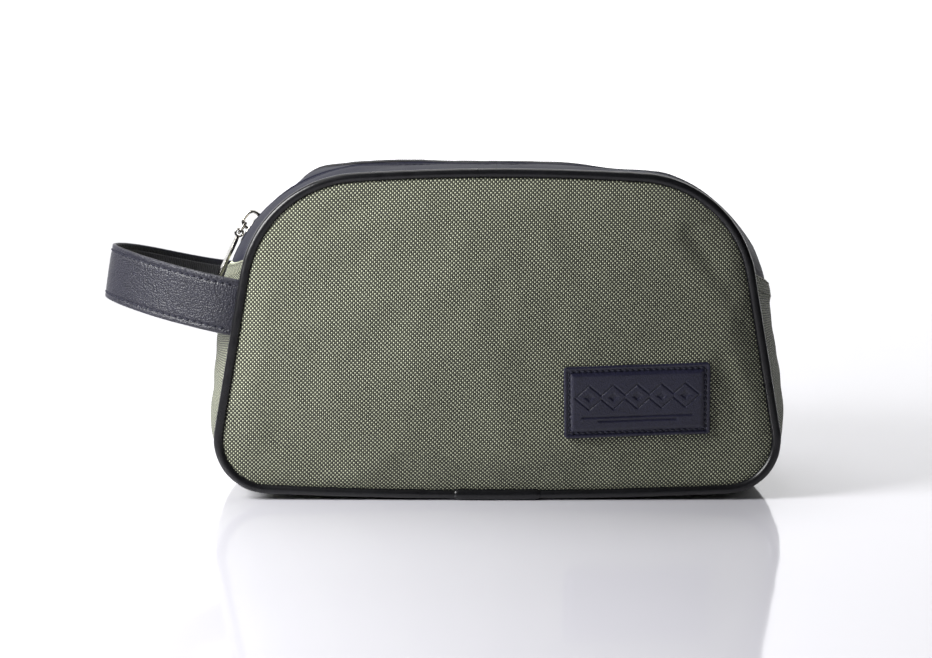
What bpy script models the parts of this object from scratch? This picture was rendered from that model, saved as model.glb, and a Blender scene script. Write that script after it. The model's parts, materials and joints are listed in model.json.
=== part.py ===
"""A zipped toiletry pouch with a wrist loop, built as separate sewn and metal pieces.

Metres, +Z up, +X to the right of the front panel, -Y to the front. The origin is the
centre of the flat underside. Two crowned panels stand at the front and the back. A strip
runs round the base and both sides between them, and a two-part band with the zip in its
middle closes the top from side to side.
"""

import math

import bmesh
import bpy
import numpy as np

MM = 0.001

# Outline of the seams where the panels meet the strip and the band.
SEAM_HALF_WIDTH = 122.8 * MM
SEAM_LOW = 2.5 * MM
SEAM_HIGH = 144 * MM
SEAM_TOP_RADIUS = 998 * MM
SEAM_SHOULDER_RADIUS = 51.5 * MM
SEAM_FOOT_RADIUS = 22 * MM
SEAM_BASE_RADIUS = 2200 * MM
SEAM_LEAN = math.radians(10.3)

# Outline of the strip and the band half way between the panels, where they stand out most.
SIDE_BULGE = 9.9 * MM
TOP_BULGE = 2.7 * MM
RIDGE_HALF_WIDTH = SEAM_HALF_WIDTH + SIDE_BULGE
RIDGE_LOW = -6 * MM
RIDGE_HIGH = SEAM_HIGH + TOP_BULGE
RIDGE_TOP_RADIUS = 1000 * MM
RIDGE_SHOULDER_RADIUS = 70 * MM
RIDGE_FOOT_RADIUS = 39.5 * MM
RIDGE_BASE_RADIUS = 100000 * MM
RIDGE_LEAN = math.radians(9)

# Places closer than this along an outline count as one.
NEAR = 0.03

HALF_DEPTH = 50 * MM
CLEARANCE = 0.3 * MM

# Panels and the layers behind them.
PIPING_RADIUS = 2.2 * MM
PANEL_CLOTH = 0.9 * MM
PANEL_FOAM = 3 * MM
PANEL_LINING = 0.6 * MM
PANEL_CROWN = 12 * MM
PANEL_CENTRE_HEIGHT = 70 * MM
FOAM_INSET = 5.5 * MM
BINDING_INSET = 4.2 * MM
BINDING_WIDTH = 4 * MM
BINDING_THICK = 2.4 * MM
SLEEVE_HALF_LENGTH = 19 * MM
SLEEVE_THICK = 0.6 * MM
SLEEVE_HALF_ANGLE = math.radians(42)

# Base and side strip.
STRIP_CLOTH = 1 * MM
STRIP_LINING = 0.6 * MM
STRIP_END_ANGLES = {"left": math.radians(21), "right": math.radians(14)}
LINING_SHORT = 0.04
BOARD_LENGTH = 176 * MM
BOARD_WIDTH = 56 * MM
BOARD_THICK = 1.6 * MM
BOARD_CORNER = 9 * MM

# Zip band.
BAND_THICK = 1.2 * MM
BAND_OPENING = 5.5 * MM
FLAP_HALF_LENGTH = 56 * MM
TAPE_THICK = 0.6 * MM
TAPE_OUTER = 12 * MM
COIL_GAP = 0.6 * MM
COIL_WIDTH = 2.7 * MM
COIL_HEIGHT = 2 * MM
COIL_DEPTH = 0.6 * MM
COIL_END_ANGLE = math.radians(26.1)
STOP_ANGLES = (math.radians(24.3), math.radians(25.7))

# Slider, pull link and pull tab.
SLIDER_ANGLE = math.radians(34.5)
SLIDER_HALF_LENGTH = 6.8 * MM
SLIDER_HALF_WIDTH = 4.6 * MM
SLIDER_PLATE = 1.4 * MM
SLIDER_WEB = 0.6 * MM
CROWN_CENTRE = 4.2 * MM
CROWN_HALF_LENGTH = 4.2 * MM
CROWN_HEIGHT = 4.8 * MM
CROWN_WIDTH = 2.4 * MM
CROWN_THICK = 1 * MM
LINK_LENGTH = 5.4 * MM
LINK_RISE = 3.5 * MM
LINK_WIRE = 0.65 * MM
LINK_HALF_WIDTH = 2.55 * MM
LINK_FROM_PLUMB = math.radians(34.5)
TAB_LENGTH = 26 * MM
TAB_WIDTH = 5.4 * MM
TAB_THICK = 1.2 * MM
TAB_EYE_RADIUS = 1.85 * MM
TAB_FROM_PLUMB = math.radians(26)

# Wrist loop.
LOOP_HEIGHT = 84.8 * MM
LOOP_REACH = 67 * MM
LOOP_START = 2.4 * MM
LOOP_PIVOT = 20 * MM
LOOP_ROOT_RADIUS = 15 * MM
LOOP_WIDTH = 25 * MM
LOOP_LEATHER = 1.6 * MM
WEBBING_WIDTH = 19.5 * MM
WEBBING_THICK = 1.4 * MM
LOOP_STEPS = (29, 5)
ROOT_STEPS = (3, 19)

# Leather patch on the front.
PATCH_CENTRE = (60.6 * MM, 46 * MM)
PATCH_LENGTH = 64 * MM
PATCH_HEIGHT = 32 * MM
PATCH_THICK = 1.3 * MM
PATCH_TURN = math.radians(1.2)


class Outline:
    """Closed outline, symmetrical about X = 0, of arcs and a straight side.

    A place on it is a number from 0 to 12: 0 is the middle of the base, 6 the middle of
    the top and 12 the base again. On the right side it runs along the base (0 to 1),
    the foot arc (1 to 2), the side (2 to 3), the shoulder arc (3 to 4), the end of the
    top (4 to 5) and the part of the top that opens (5 to 6).
    """

    def __init__(self, half_width, low, high, top, shoulder, foot, base, lean):
        self.sizes = (half_width, low, high, top, shoulder, foot, base, lean)
        self.low = low
        self.high = high
        self.top = top
        self.shoulder = shoulder
        self.foot = foot
        self.base = base
        self.lean = lean
        self.base_angle = math.asin((half_width - foot) / (base - foot))
        rise = (base - foot) * math.cos(self.base_angle)
        self.foot_centre = np.array([half_width - foot, low + base - rise])
        self.side_normal = np.array([math.cos(lean), math.sin(lean)])
        offset = self.side_normal @ self.foot_centre + foot - shoulder
        offset -= math.sin(lean) * (high - top)
        self.top_angle = math.asin(offset / (top - shoulder)) - lean
        self.shoulder_centre = np.array(
            [
                (top - shoulder) * math.sin(self.top_angle),
                high - top + (top - shoulder) * math.cos(self.top_angle),
            ]
        )

    def inset(self, distance):
        """The parallel outline this far inside."""
        half_width, low, high, top, shoulder, foot, base, lean = self.sizes
        return Outline(
            half_width - distance,
            low + distance,
            high - distance,
            top - distance,
            shoulder - distance,
            foot - distance,
            base - distance,
            lean,
        )

    def shoulder_place(self, angle):
        """The place on the right shoulder whose radius makes this angle with the level."""
        span = math.pi / 2 - self.top_angle - self.lean
        return 3 + (angle - self.lean) / span

    def side_point(self, height):
        """(x, z) on the right side at this height."""
        reach = self.side_normal @ self.foot_centre + self.foot
        return np.array([(reach - self.side_normal[1] * height) / self.side_normal[0], height])

    def top_height(self, x):
        return self.high - self.top + math.sqrt(self.top**2 - x**2)

    def right_point(self, place):
        stretch = min(int(place), 5)
        share = place - stretch
        if stretch == 0:
            angle = share * self.base_angle
            turned = np.array([math.sin(angle), 1 - math.cos(angle)])
            return np.array([0, self.low]) + self.base * turned
        if stretch == 1:
            first = self.base_angle - math.pi / 2
            angle = first + share * (self.lean - first)
            return self.foot_centre + self.foot * np.array([math.cos(angle), math.sin(angle)])
        if stretch == 2:
            lower = self.foot_centre + self.foot * self.side_normal
            upper = self.shoulder_centre + self.shoulder * self.side_normal
            return lower + share * (upper - lower)
        if stretch == 3:
            angle = self.lean + share * (math.pi / 2 - self.top_angle - self.lean)
            turned = np.array([math.cos(angle), math.sin(angle)])
            return self.shoulder_centre + self.shoulder * turned
        outer = self.top * math.sin(self.top_angle)
        if stretch == 4:
            x = outer + share * (FLAP_HALF_LENGTH - outer)
        else:
            x = FLAP_HALF_LENGTH * (1 - share)
        return np.array([x, self.top_height(x)])

    def point(self, place):
        """(x, z) at this place."""
        if place <= 6:
            return self.right_point(place)
        x, z = self.right_point(12 - place)
        return np.array([-x, z])


SEAM = Outline(
    SEAM_HALF_WIDTH,
    SEAM_LOW,
    SEAM_HIGH,
    SEAM_TOP_RADIUS,
    SEAM_SHOULDER_RADIUS,
    SEAM_FOOT_RADIUS,
    SEAM_BASE_RADIUS,
    SEAM_LEAN,
)
RIDGE = Outline(
    RIDGE_HALF_WIDTH,
    RIDGE_LOW,
    RIDGE_HIGH,
    RIDGE_TOP_RADIUS,
    RIDGE_SHOULDER_RADIUS,
    RIDGE_FOOT_RADIUS,
    RIDGE_BASE_RADIUS,
    RIDGE_LEAN,
)
STRIP_EDGE = HALF_DEPTH - PIPING_RADIUS - CLEARANCE
PANEL_INSET = PIPING_RADIUS + CLEARANCE
LINING_DEPTH = STRIP_CLOTH + CLEARANCE
BOARD_LEVEL = STRIP_CLOTH + CLEARANCE
BASE_LINING_DEPTH = BOARD_LEVEL + BOARD_THICK + CLEARANCE


def places(counts, first=0.0, last=12.0):
    """Places along an outline between two ends, with a number of steps for each stretch.

    counts holds the steps of the six stretches of the right half; the left half mirrors it.
    """
    marks = []
    for stretch, count in enumerate(counts + counts[::-1]):
        for step in range(count):
            marks.append(stretch + step / count)
    near = 0.25 / max(counts)
    inside = [mark for mark in marks if first + near < mark < last - near]
    return [first] + inside + [last]


def cover_point(place, y, depth):
    """A point of the strip or the band, this deep under their outer surface."""
    share = 1 - (y / STRIP_EDGE) ** 2
    seam = SEAM.inset(depth).point(place)
    ridge = RIDGE.inset(depth).point(place)
    x, z = seam + share * (ridge - seam)
    return np.array([x, y, max(z, depth)])


def panel_share(x, z):
    """0 at the panel's middle and 1 on its edge, along straight lines from the middle."""
    spoke = np.array([x, z - PANEL_CENTRE_HEIGHT])
    return float((PANEL_NORMALS @ spoke / PANEL_REACHES).max())


def panel_lines():
    """Outward normals of the panel's edge and their distances from its middle."""
    edge = SEAM.inset(PANEL_INSET)
    spots = [edge.point(place) for place in places([8, 12, 4, 14, 2, 8])[:-1]]
    loop = np.array(spots) - np.array([0, PANEL_CENTRE_HEIGHT])
    along = np.roll(loop, -1, axis=0) - loop
    normals = np.stack([along[:, 1], -along[:, 0]], axis=1)
    normals /= np.linalg.norm(normals, axis=1, keepdims=True)
    return normals, (normals * loop).sum(axis=1)


PANEL_NORMALS, PANEL_REACHES = panel_lines()


def panel_depth(x, z):
    """How far the outer face of a panel stands from the middle plane of the pouch."""
    share = min(1.0, panel_share(x, z))
    return HALF_DEPTH + PANEL_CLOTH / 2 + PANEL_CROWN * (1 - share**2)


def material(name, colour, roughness, metallic=0.0):
    """A plain Principled finish."""
    made = bpy.data.materials.new(name)
    made.use_nodes = True
    shader = made.node_tree.nodes["Principled BSDF"]
    shader.inputs["Base Color"].default_value = (*colour, 1)
    shader.inputs["Roughness"].default_value = roughness
    shader.inputs["Metallic"].default_value = metallic
    return made


FINISHES = {
    "olive_cloth": ((0.17, 0.18, 0.13), 0.85, 0.0),
    "dark_leather": ((0.03, 0.03, 0.032), 0.45, 0.0),
    "navy_leather": ((0.05, 0.055, 0.085), 0.5, 0.0),
    "foam": ((0.75, 0.74, 0.7), 0.9, 0.0),
    "lining": ((0.2, 0.2, 0.21), 0.8, 0.0),
    "board": ((0.3, 0.28, 0.25), 0.8, 0.0),
    "black_tape": ((0.02, 0.02, 0.024), 0.7, 0.0),
    "nickel": ((0.75, 0.75, 0.74), 0.22, 1.0),
}


def add_object(name, points, faces, finish, origin=(0, 0, 0), smooth=True):
    """A node from points in the pouch's frame, with its origin moved to a joint."""
    centre = np.array(origin)
    mesh = bpy.data.meshes.new(name)
    mesh.from_pydata((np.array(points) - centre).tolist(), [], faces)
    tidy = bmesh.new()
    tidy.from_mesh(mesh)
    bmesh.ops.recalc_face_normals(tidy, faces=tidy.faces)
    tidy.to_mesh(mesh)
    tidy.free()
    mesh.polygons.foreach_set("use_smooth", [smooth] * len(mesh.polygons))
    colour, roughness, metallic = FINISHES[finish]
    mesh.materials.append(material(name, colour, roughness, metallic))
    made = bpy.data.objects.new(name, mesh)
    made.location = origin
    bpy.context.scene.collection.objects.link(made)
    return made


def join_solids(target, others):
    """Fuses other solids into the target and keeps them only as hidden cutters."""
    for other in others:
        other.hide_render = True
        other.display_type = "WIRE"
        fuse = target.modifiers.new("fuse_" + other.name, "BOOLEAN")
        fuse.operation = "UNION"
        fuse.solver = "EXACT"
        fuse.object = other


def slab(name, outer, inner, finish, origin=(0, 0, 0)):
    """A closed sheet between two matching grids of points."""
    rows, columns = outer.shape[:2]
    count = rows * columns
    faces = []
    for i in range(rows - 1):
        for j in range(columns - 1):
            a = i * columns + j
            quad = (a, a + 1, a + columns + 1, a + columns)
            faces.append(quad)
            faces.append(tuple(count + k for k in reversed(quad)))
    rim = [j for j in range(columns)]
    rim += [i * columns + columns - 1 for i in range(1, rows)]
    rim += [(rows - 1) * columns + j for j in range(columns - 2, -1, -1)]
    rim += [i * columns for i in range(rows - 2, 0, -1)]
    for a, b in zip(rim, rim[1:] + rim[:1]):
        faces.append((a, b, count + b, count + a))
    points = np.concatenate([outer.reshape(-1, 3), inner.reshape(-1, 3)])
    return add_object(name, points, faces, finish, origin)


def dome(name, inset, steps, rings, depth_from_face, thick, side, finish):
    """One layer of a panel: rings that shrink to the middle, on two parallel faces.

    side is -1 for the front and 1 for the back.
    """
    edge = SEAM.inset(inset)
    loop = np.array([edge.point(place) for place in places(steps)[:-1]])
    middle = np.array([0, PANEL_CENTRE_HEIGHT])
    points = []
    for deep in (depth_from_face, depth_from_face + thick):
        for ring in range(rings):
            for x, z in middle + (loop - middle) * (1 - ring / rings):
                points.append((x, side * (panel_depth(x, z) - deep), z))
        x, z = middle
        points.append((x, side * (panel_depth(x, z) - deep), z))
    around = len(loop)
    one_face = rings * around + 1
    faces = []
    for k in range(around):
        after = (k + 1) % around
        for ring in range(rings - 1):
            a = ring * around
            quad = (a + k, a + after, a + around + after, a + around + k)
            faces.append(quad)
            faces.append(tuple(one_face + n for n in reversed(quad)))
        last = (rings - 1) * around
        faces.append((last + k, last + after, one_face - 1))
        faces.append((one_face + last + after, one_face + last + k, 2 * one_face - 1))
        faces.append((after, k, one_face + k, one_face + after))
    return add_object(name, points, faces, finish)


def ring_along(name, frames, section, finish, closed=True, origin=(0, 0, 0)):
    """A section carried along frames of (centre, first axis, second axis)."""
    points = []
    for centre, first, second in frames:
        for a, b in section:
            points.append(centre + a * first + b * second)
    sides = len(section)
    count = len(frames)
    faces = []
    for i in range(count if closed else count - 1):
        here = i * sides
        there = ((i + 1) % count) * sides
        for k in range(sides):
            after = (k + 1) % sides
            faces.append((here + k, here + after, there + after, there + k))
    if not closed:
        faces.append(tuple(range(sides)))
        faces.append(tuple(range((count - 1) * sides, count * sides)))
    return add_object(name, points, faces, finish, origin)


def circle(radius, sides):
    angles = [2 * math.pi * (k + 0.5) / sides for k in range(sides)]
    return [(radius * math.cos(a), radius * math.sin(a)) for a in angles]


def block(width, height):
    """A rectangle with small chamfers."""
    a, b, cut = width / 2, height / 2, 0.22 * min(width, height)
    return [
        (a, b - cut),
        (a - cut, b),
        (cut - a, b),
        (-a, b - cut),
        (-a, cut - b),
        (cut - a, -b),
        (a - cut, -b),
        (a, cut - b),
    ]


def seam_frames(inset, side, y, steps, first=0.0, last=12.0):
    """Frames along a seam: the inward direction and the depth direction."""
    edge = SEAM.inset(inset)
    marks = places(steps, first, last)
    if last - first > 11.99:
        marks = marks[:-1]
    frames = []
    for mark in marks:
        x, z = edge.point(mark)
        ahead = edge.point((mark + 0.01) % 12) - edge.point((mark - 0.01) % 12)
        ahead /= np.linalg.norm(ahead)
        inward = np.array([-ahead[1], 0, ahead[0]])
        frames.append((np.array([x, side * y, z]), inward, np.array([0, side, 0])))
    return frames


def build_panels():
    """Cloth, foam and lining of both panels, their piping, its joints and the binding."""
    for word, side in (("front", -1), ("back", 1)):
        steps = [3, 6, 2, 7, 1, 3]
        hidden = [2, 4, 1, 5, 1, 2]
        foam = PANEL_CLOTH + CLEARANCE
        lining = foam + PANEL_FOAM + CLEARANCE
        dome(word + "_panel", PANEL_INSET, steps, 4, 0, PANEL_CLOTH, side, "olive_cloth")
        dome(word + "_foam", FOAM_INSET, hidden, 3, foam, PANEL_FOAM, side, "foam")
        dome(word + "_lining", FOAM_INSET, hidden, 3, lining, PANEL_LINING, side, "lining")
        frames = seam_frames(0, side, HALF_DEPTH, [4, 7, 2, 8, 1, 4])
        section = circle(PIPING_RADIUS, 8)
        ring_along(word + "_piping", frames, section, "dark_leather")
        deep = HALF_DEPTH + PANEL_CLOTH / 2 - lining - PANEL_LINING
        y = deep - CLEARANCE - BINDING_THICK / 2
        frames = seam_frames(BINDING_INSET + BINDING_WIDTH / 2, side, y, hidden)
        section = block(BINDING_WIDTH, BINDING_THICK)
        ring_along(word + "_seam_binding", frames, section, "black_tape")
        build_sleeve(word + "_piping_joint", side)


def build_sleeve(name, side):
    """The cover over the joint of a piping, open towards the panel and the strip."""
    radius = PIPING_RADIUS + CLEARANCE
    section = []
    for r, order in ((radius, 1), (radius + SLEEVE_THICK, -1)):
        for k in range(5):
            angle = order * SLEEVE_HALF_ANGLE * (k / 2 - 1)
            section.append((r * math.sin(angle), r * math.cos(angle)))
    reach = SLEEVE_HALF_LENGTH / (SEAM_BASE_RADIUS * SEAM.base_angle)
    frames = []
    for share in (-1, -0.5, 0, 0.5, 1):
        frames += seam_frames(0, side, HALF_DEPTH, [4, 7, 2, 8, 1, 4], abs(share) * reach)[:1]
        centre, inward, outward = frames[-1]
        if share < 0:
            flip = np.array([-1, 1, 1])
            frames[-1] = (centre * flip, inward * flip, outward)
    ring_along(name, frames, section, "dark_leather", closed=False)


def cover_slab(name, marks, ys, top, bottom, finish, origin=(0, 0, 0)):
    """A piece of the strip or the band between two depths; each may vary by place."""
    outer = []
    inner = []
    for mark in marks:
        high = top(mark) if callable(top) else top
        low = bottom(mark) if callable(bottom) else bottom
        outer.append([cover_point(mark, y, high) for y in ys])
        inner.append([cover_point(mark, y, low) for y in ys])
    return slab(name, np.array(outer), np.array(inner), finish, origin)


def lining_depth(mark):
    """The lining lies under the board at the base and on the strip at the sides."""
    along = min(mark, 12 - mark)
    share = min(1.0, max(0.0, along - 1))
    return BASE_LINING_DEPTH + share * (LINING_DEPTH - BASE_LINING_DEPTH)


def lining_bottom(mark):
    return lining_depth(mark) + STRIP_LINING


def build_strip():
    """The strip round the base and the sides, its lining and the base board."""
    left, right = (RIDGE.shoulder_place(STRIP_END_ANGLES[word]) for word in ("left", "right"))
    turned = [mark - 12 if mark > 6 else mark for mark in places([3, 5, 2, 8, 1, 1])[:-1]]
    marks = sorted(mark for mark in turned if NEAR - left < mark < right - NEAR)
    marks = [-left] + marks + [right]
    marks = [mark % 12 for mark in marks]
    ys = np.linspace(-STRIP_EDGE, STRIP_EDGE, 11)
    cover_slab("gusset", marks, ys, 0, STRIP_CLOTH, "olive_cloth")
    marks[0] += LINING_SHORT
    marks[-1] -= LINING_SHORT
    cover_slab("gusset_lining", marks, ys[::2], lining_depth, lining_bottom, "lining")
    a, b = BOARD_LENGTH / 2, BOARD_WIDTH / 2
    loop = [(a, BOARD_CORNER - b), (a, b - BOARD_CORNER), (a - BOARD_CORNER, b)]
    loop += [(BOARD_CORNER - a, b), (-a, b - BOARD_CORNER), (-a, BOARD_CORNER - b)]
    loop += [(BOARD_CORNER - a, -b), (a - BOARD_CORNER, -b)]
    low = [(x, y, BOARD_LEVEL) for x, y in loop]
    high = [(x, y, BOARD_LEVEL + BOARD_THICK) for x, y in loop]
    faces = [tuple(range(7, -1, -1)), tuple(range(8, 16))]
    faces += [(k, (k + 1) % 8, 8 + (k + 1) % 8, 8 + k) for k in range(8)]
    add_object("base_board", low + high, faces, "board", smooth=False)


def flap_axis(side):
    """The line that a flap of the band turns about, at its seam."""
    y = side * (STRIP_EDGE - CLEARANCE)
    return (0, y, cover_point(6, y, 0)[2])


def build_band():
    """Both halves of the band, tape and coil, each as two corners and an opening flap."""
    coil_start = RIDGE.shoulder_place(COIL_END_ANGLE)
    gap = CLEARANCE / (RIDGE.top * math.sin(RIDGE.top_angle) - FLAP_HALF_LENGTH)
    whole = places([1, 1, 1, 10, 1, 3])
    middle = [5] + [mark for mark in whole if 5 + NEAR < mark < 7 - NEAR] + [7]
    tape_depth = BAND_THICK + CLEARANCE
    coil_outer = COIL_GAP + COIL_WIDTH
    tape_inner = coil_outer + CLEARANCE
    for word, side in (("front", -1), ("back", 1)):
        band_ys = side * np.linspace(BAND_OPENING, STRIP_EDGE, 6)
        flap_ys = side * np.linspace(BAND_OPENING, STRIP_EDGE - CLEARANCE, 6)
        tape_ys = side * np.linspace(tape_inner, TAPE_OUTER, 2)
        coil_ys = side * np.linspace(COIL_GAP, coil_outer, 2)
        axis = flap_axis(side)
        for part in ("left", "mid", "right"):
            marks = middle
            coil_marks = middle
            origin = axis
            ys = flap_ys
            if part != "mid":
                start = RIDGE.shoulder_place(STRIP_END_ANGLES[part])
                start += CLEARANCE / RIDGE_SHOULDER_RADIUS
                last = 5 - gap
                marks = [start] + [m for m in whole if start + NEAR < m < last - NEAR] + [last]
                coil_marks = [coil_start]
                coil_marks += [m for m in whole if coil_start + NEAR < m < last - NEAR] + [last]
                origin = (0, 0, 0)
                ys = band_ys
            if part == "left":
                marks = [12 - mark for mark in marks]
                coil_marks = [12 - mark for mark in coil_marks]
            names = [f"{kind}_{word}_{part}" for kind in ("band", "zip_tape", "zip_coil")]
            cover_slab(names[0], marks, ys, 0, BAND_THICK, "navy_leather", origin)
            low = tape_depth + TAPE_THICK
            cover_slab(names[1], marks, tape_ys, tape_depth, low, "black_tape", origin)
            low = COIL_DEPTH + COIL_HEIGHT
            cover_slab(names[2], coil_marks, coil_ys, COIL_DEPTH, low, "black_tape", origin)


def build_stops():
    """Two metal stops where the coils end on the left and one that joins them on the right."""
    marks = [RIDGE.shoulder_place(angle) for angle in STOP_ANGLES]
    top = COIL_DEPTH - CLEARANCE
    low = COIL_DEPTH + COIL_HEIGHT + CLEARANCE
    outer = COIL_GAP + COIL_WIDTH
    left = [12 - mark for mark in marks]
    for word, side in (("front", -1), ("back", 1)):
        ys = [side * COIL_GAP, side * outer]
        cover_slab("top_stop_" + word, left, ys, top, low, "nickel")
    cover_slab("bottom_stop", marks, [-outer, outer], top, low, "nickel")


def on_slider(along, y, rise):
    """A point beside the slider: along the zip, across it and above the band's surface."""
    x, z = RIDGE.shoulder_centre
    angle = SLIDER_ANGLE + along / RIDGE_SHOULDER_RADIUS
    reach = RIDGE_SHOULDER_RADIUS + rise
    return np.array([-x - reach * math.cos(angle), y, z + reach * math.sin(angle)])


def slider_plate(name, rises, widths, origin):
    """A plate bent to the shoulder's arc, with a width for each step along it."""
    grids = []
    for rise in rises:
        rows = []
        for step, half in enumerate(widths):
            along = SLIDER_HALF_LENGTH * (2 * step / (len(widths) - 1) - 1)
            rows.append([on_slider(along, half * share, rise) for share in (-1, 1)])
        grids.append(rows)
    return slab(name, np.array(grids[0]), np.array(grids[1]), "nickel", origin)


def build_slider():
    """The slider's two plates and web, its crown, the pull link and the pull tab."""
    x, z = RIDGE.shoulder_centre
    origin = (-x, 0, z)
    top = CLEARANCE - COIL_DEPTH
    bottom = -(COIL_DEPTH + COIL_HEIGHT + CLEARANCE)
    plate_top = top + SLIDER_PLATE
    shape = [0.6, 0.82, 0.9, 0.95, 1, 1, 0.72]
    widths = [SLIDER_HALF_WIDTH * share for share in shape]
    body = slider_plate("slider_body", (plate_top, top), widths, origin)
    narrow = [0.85 * width for width in widths]
    foot = slider_plate("slider_foot", (bottom, bottom - SLIDER_PLATE), narrow, origin)
    web = []
    for rise in (top + 0.4 * SLIDER_PLATE, bottom - 0.4 * SLIDER_PLATE):
        rows = []
        for along in (-0.1 * SLIDER_HALF_LENGTH, 0.7 * SLIDER_HALF_LENGTH):
            rows.append([on_slider(along, share * SLIDER_WEB / 2, rise) for share in (-1, 1)])
        web.append(rows)
    web = slab("slider_web", np.array(web[0]), np.array(web[1]), "nickel", origin)
    join_solids(body, [foot, web])
    build_crown(origin, plate_top)
    build_pull()


def build_crown(origin, plate_top):
    """An arch over the top plate, just clear of it at both feet."""
    half = CROWN_HALF_LENGTH - CROWN_THICK / 2
    low = plate_top + CLEARANCE
    high = plate_top + CROWN_HEIGHT - CROWN_THICK / 2
    corner = 0.45 * CROWN_HEIGHT
    path = [(-half, low)]
    for k in range(4):
        angle = math.pi / 6 * k
        path.append((-half + corner * (1 - math.cos(angle)), high - corner * (1 - math.sin(angle))))
    path += [(-along, rise) for along, rise in reversed(path)]
    path = [(along + CROWN_CENTRE, rise) for along, rise in path]
    frames = []
    for k, (along, rise) in enumerate(path):
        before = np.array(path[max(0, k - 1)])
        after = np.array(path[min(len(path) - 1, k + 1)])
        way = (after - before) / np.linalg.norm(after - before)
        here = on_slider(along, 0, rise)
        sideways = np.array([along - way[1] * MM, rise + way[0] * MM])
        normal = on_slider(sideways[0], 0, sideways[1]) - here
        normal /= np.linalg.norm(normal)
        frames.append((here, normal, np.array([0, 1, 0])))
    section = block(CROWN_THICK, CROWN_WIDTH)
    ring_along("slider_crown", frames, section, "nickel", closed=False, origin=origin)


def link_axis():
    """The line that the pull link turns about, behind the crown's lower leg."""
    along = CROWN_CENTRE - CROWN_HALF_LENGTH + CROWN_THICK + CLEARANCE + LINK_WIRE
    return on_slider(along, 0, LINK_RISE)


def down_at(angle):
    """A unit direction downwards and to the left of plumb by this angle."""
    return np.array([-math.sin(angle), 0, -math.cos(angle)])


def build_pull():
    """A wire link through the crown and a tab with an eye round the link's other end."""
    eye = link_axis()
    way = down_at(LINK_FROM_PLUMB)
    across = np.array([0, 1, 0])
    corner = 0.45 * LINK_HALF_WIDTH
    half = LINK_HALF_WIDTH
    loop = []
    for a, b, first in (
        (LINK_LENGTH, half, 0),
        (0, half, 90),
        (0, -half, 180),
        (LINK_LENGTH, -half, 270),
    ):
        inner = (a + (corner if a == 0 else -corner), b - math.copysign(corner, b))
        for turn in (0, 45, 90):
            angle = math.radians(first + turn)
            loop.append(
                (inner[0] + corner * math.cos(angle), inner[1] + corner * math.sin(angle))
            )
    normal = np.cross(across, way)
    frames = []
    for k, (a, b) in enumerate(loop):
        before = np.array(loop[k - 1])
        after = np.array(loop[(k + 1) % len(loop)])
        ahead = (after - before) / np.linalg.norm(after - before)
        side = ahead[1] * way - ahead[0] * across
        frames.append((eye + a * way + b * across, side, normal))
    section = circle(LINK_WIRE, 6)
    ring_along("pull_link", frames, section, "nickel", origin=tuple(eye))
    build_tab(eye + LINK_LENGTH * way)


def build_tab(eye):
    """A long plate that narrows slightly to its rounded end, fused to a tube."""
    way = down_at(TAB_FROM_PLUMB)
    across = np.array([0, 1, 0])
    normal = np.cross(across, way)
    bore = LINK_WIRE + CLEARANCE
    half = LINK_HALF_WIDTH - LINK_WIRE - CLEARANCE
    ring = []
    for k in range(12):
        angle = 2 * math.pi * k / 12
        ring.append(math.cos(angle) * way + math.sin(angle) * normal)
    points = []
    for radius, y in ((TAB_EYE_RADIUS, half), (TAB_EYE_RADIUS, -half), (bore, -half), (bore, half)):
        points += [eye + radius * spoke + y * across for spoke in ring]
    faces = []
    for loop in range(4):
        for k in range(12):
            here = 12 * loop
            there = 12 * ((loop + 1) % 4)
            faces.append((here + k, here + (k + 1) % 12, there + (k + 1) % 12, there + k))
    tube = add_object("pull_tab", points, faces, "nickel", tuple(eye))
    first = 0.5 * (bore + TAB_EYE_RADIUS)
    last = TAB_LENGTH - TAB_EYE_RADIUS
    wide = TAB_WIDTH / 2
    edge = [(first, 0.8 * half), (0.28 * last, wide), (0.85 * last, 0.9 * wide)]
    edge += [(0.96 * last, 0.7 * wide), (last, 0.3 * wide)]
    edge += [(along, -y) for along, y in reversed(edge)]
    points = []
    for rise in (-TAB_THICK / 2, TAB_THICK / 2):
        points += [eye + along * way + y * across + rise * normal for along, y in edge]
    count = len(edge)
    faces = [tuple(range(count)), tuple(range(2 * count - 1, count - 1, -1))]
    for k in range(count):
        faces.append((k, count + k, count + (k + 1) % count, (k + 1) % count))
    plate = add_object("pull_tab_plate", points, faces, "nickel", tuple(eye))
    join_solids(tube, [plate])


def loop_frame():
    """(seam point, outward, upward) of the wrist loop in the X-Z plane, on the left."""
    x, z = SEAM.side_point(LOOP_HEIGHT)
    outward = np.array([-math.cos(SEAM_LEAN), math.sin(SEAM_LEAN)])
    upward = np.array([math.sin(SEAM_LEAN), math.cos(SEAM_LEAN)])
    return np.array([-x, z]), outward, upward


def loop_pivot():
    seam, outward, _ = loop_frame()
    x, z = seam + LOOP_PIVOT * outward
    return (x, 0, z)


def loop_path(count=400):
    """Fine points (out, y) of the loop from its front root to its back root."""
    root = STRIP_EDGE - LOOP_LEATHER
    nose = LOOP_REACH - LOOP_LEATHER
    first = np.array([[LOOP_START, -root], [LOOP_START + 0.4 * nose, -root]])
    second = np.array([[nose, -0.2 * nose], [nose, 0]])
    ends = np.concatenate([first, second])
    share = np.linspace(0, 1, count)[:, None]
    weights = [(1 - share) ** 3, 3 * share * (1 - share) ** 2, 3 * share**2 * (1 - share), share**3]
    half = sum(weight * end for weight, end in zip(weights, ends))
    back = half[:-1][::-1] * np.array([1, -1])
    return np.concatenate([half, back])


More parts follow.
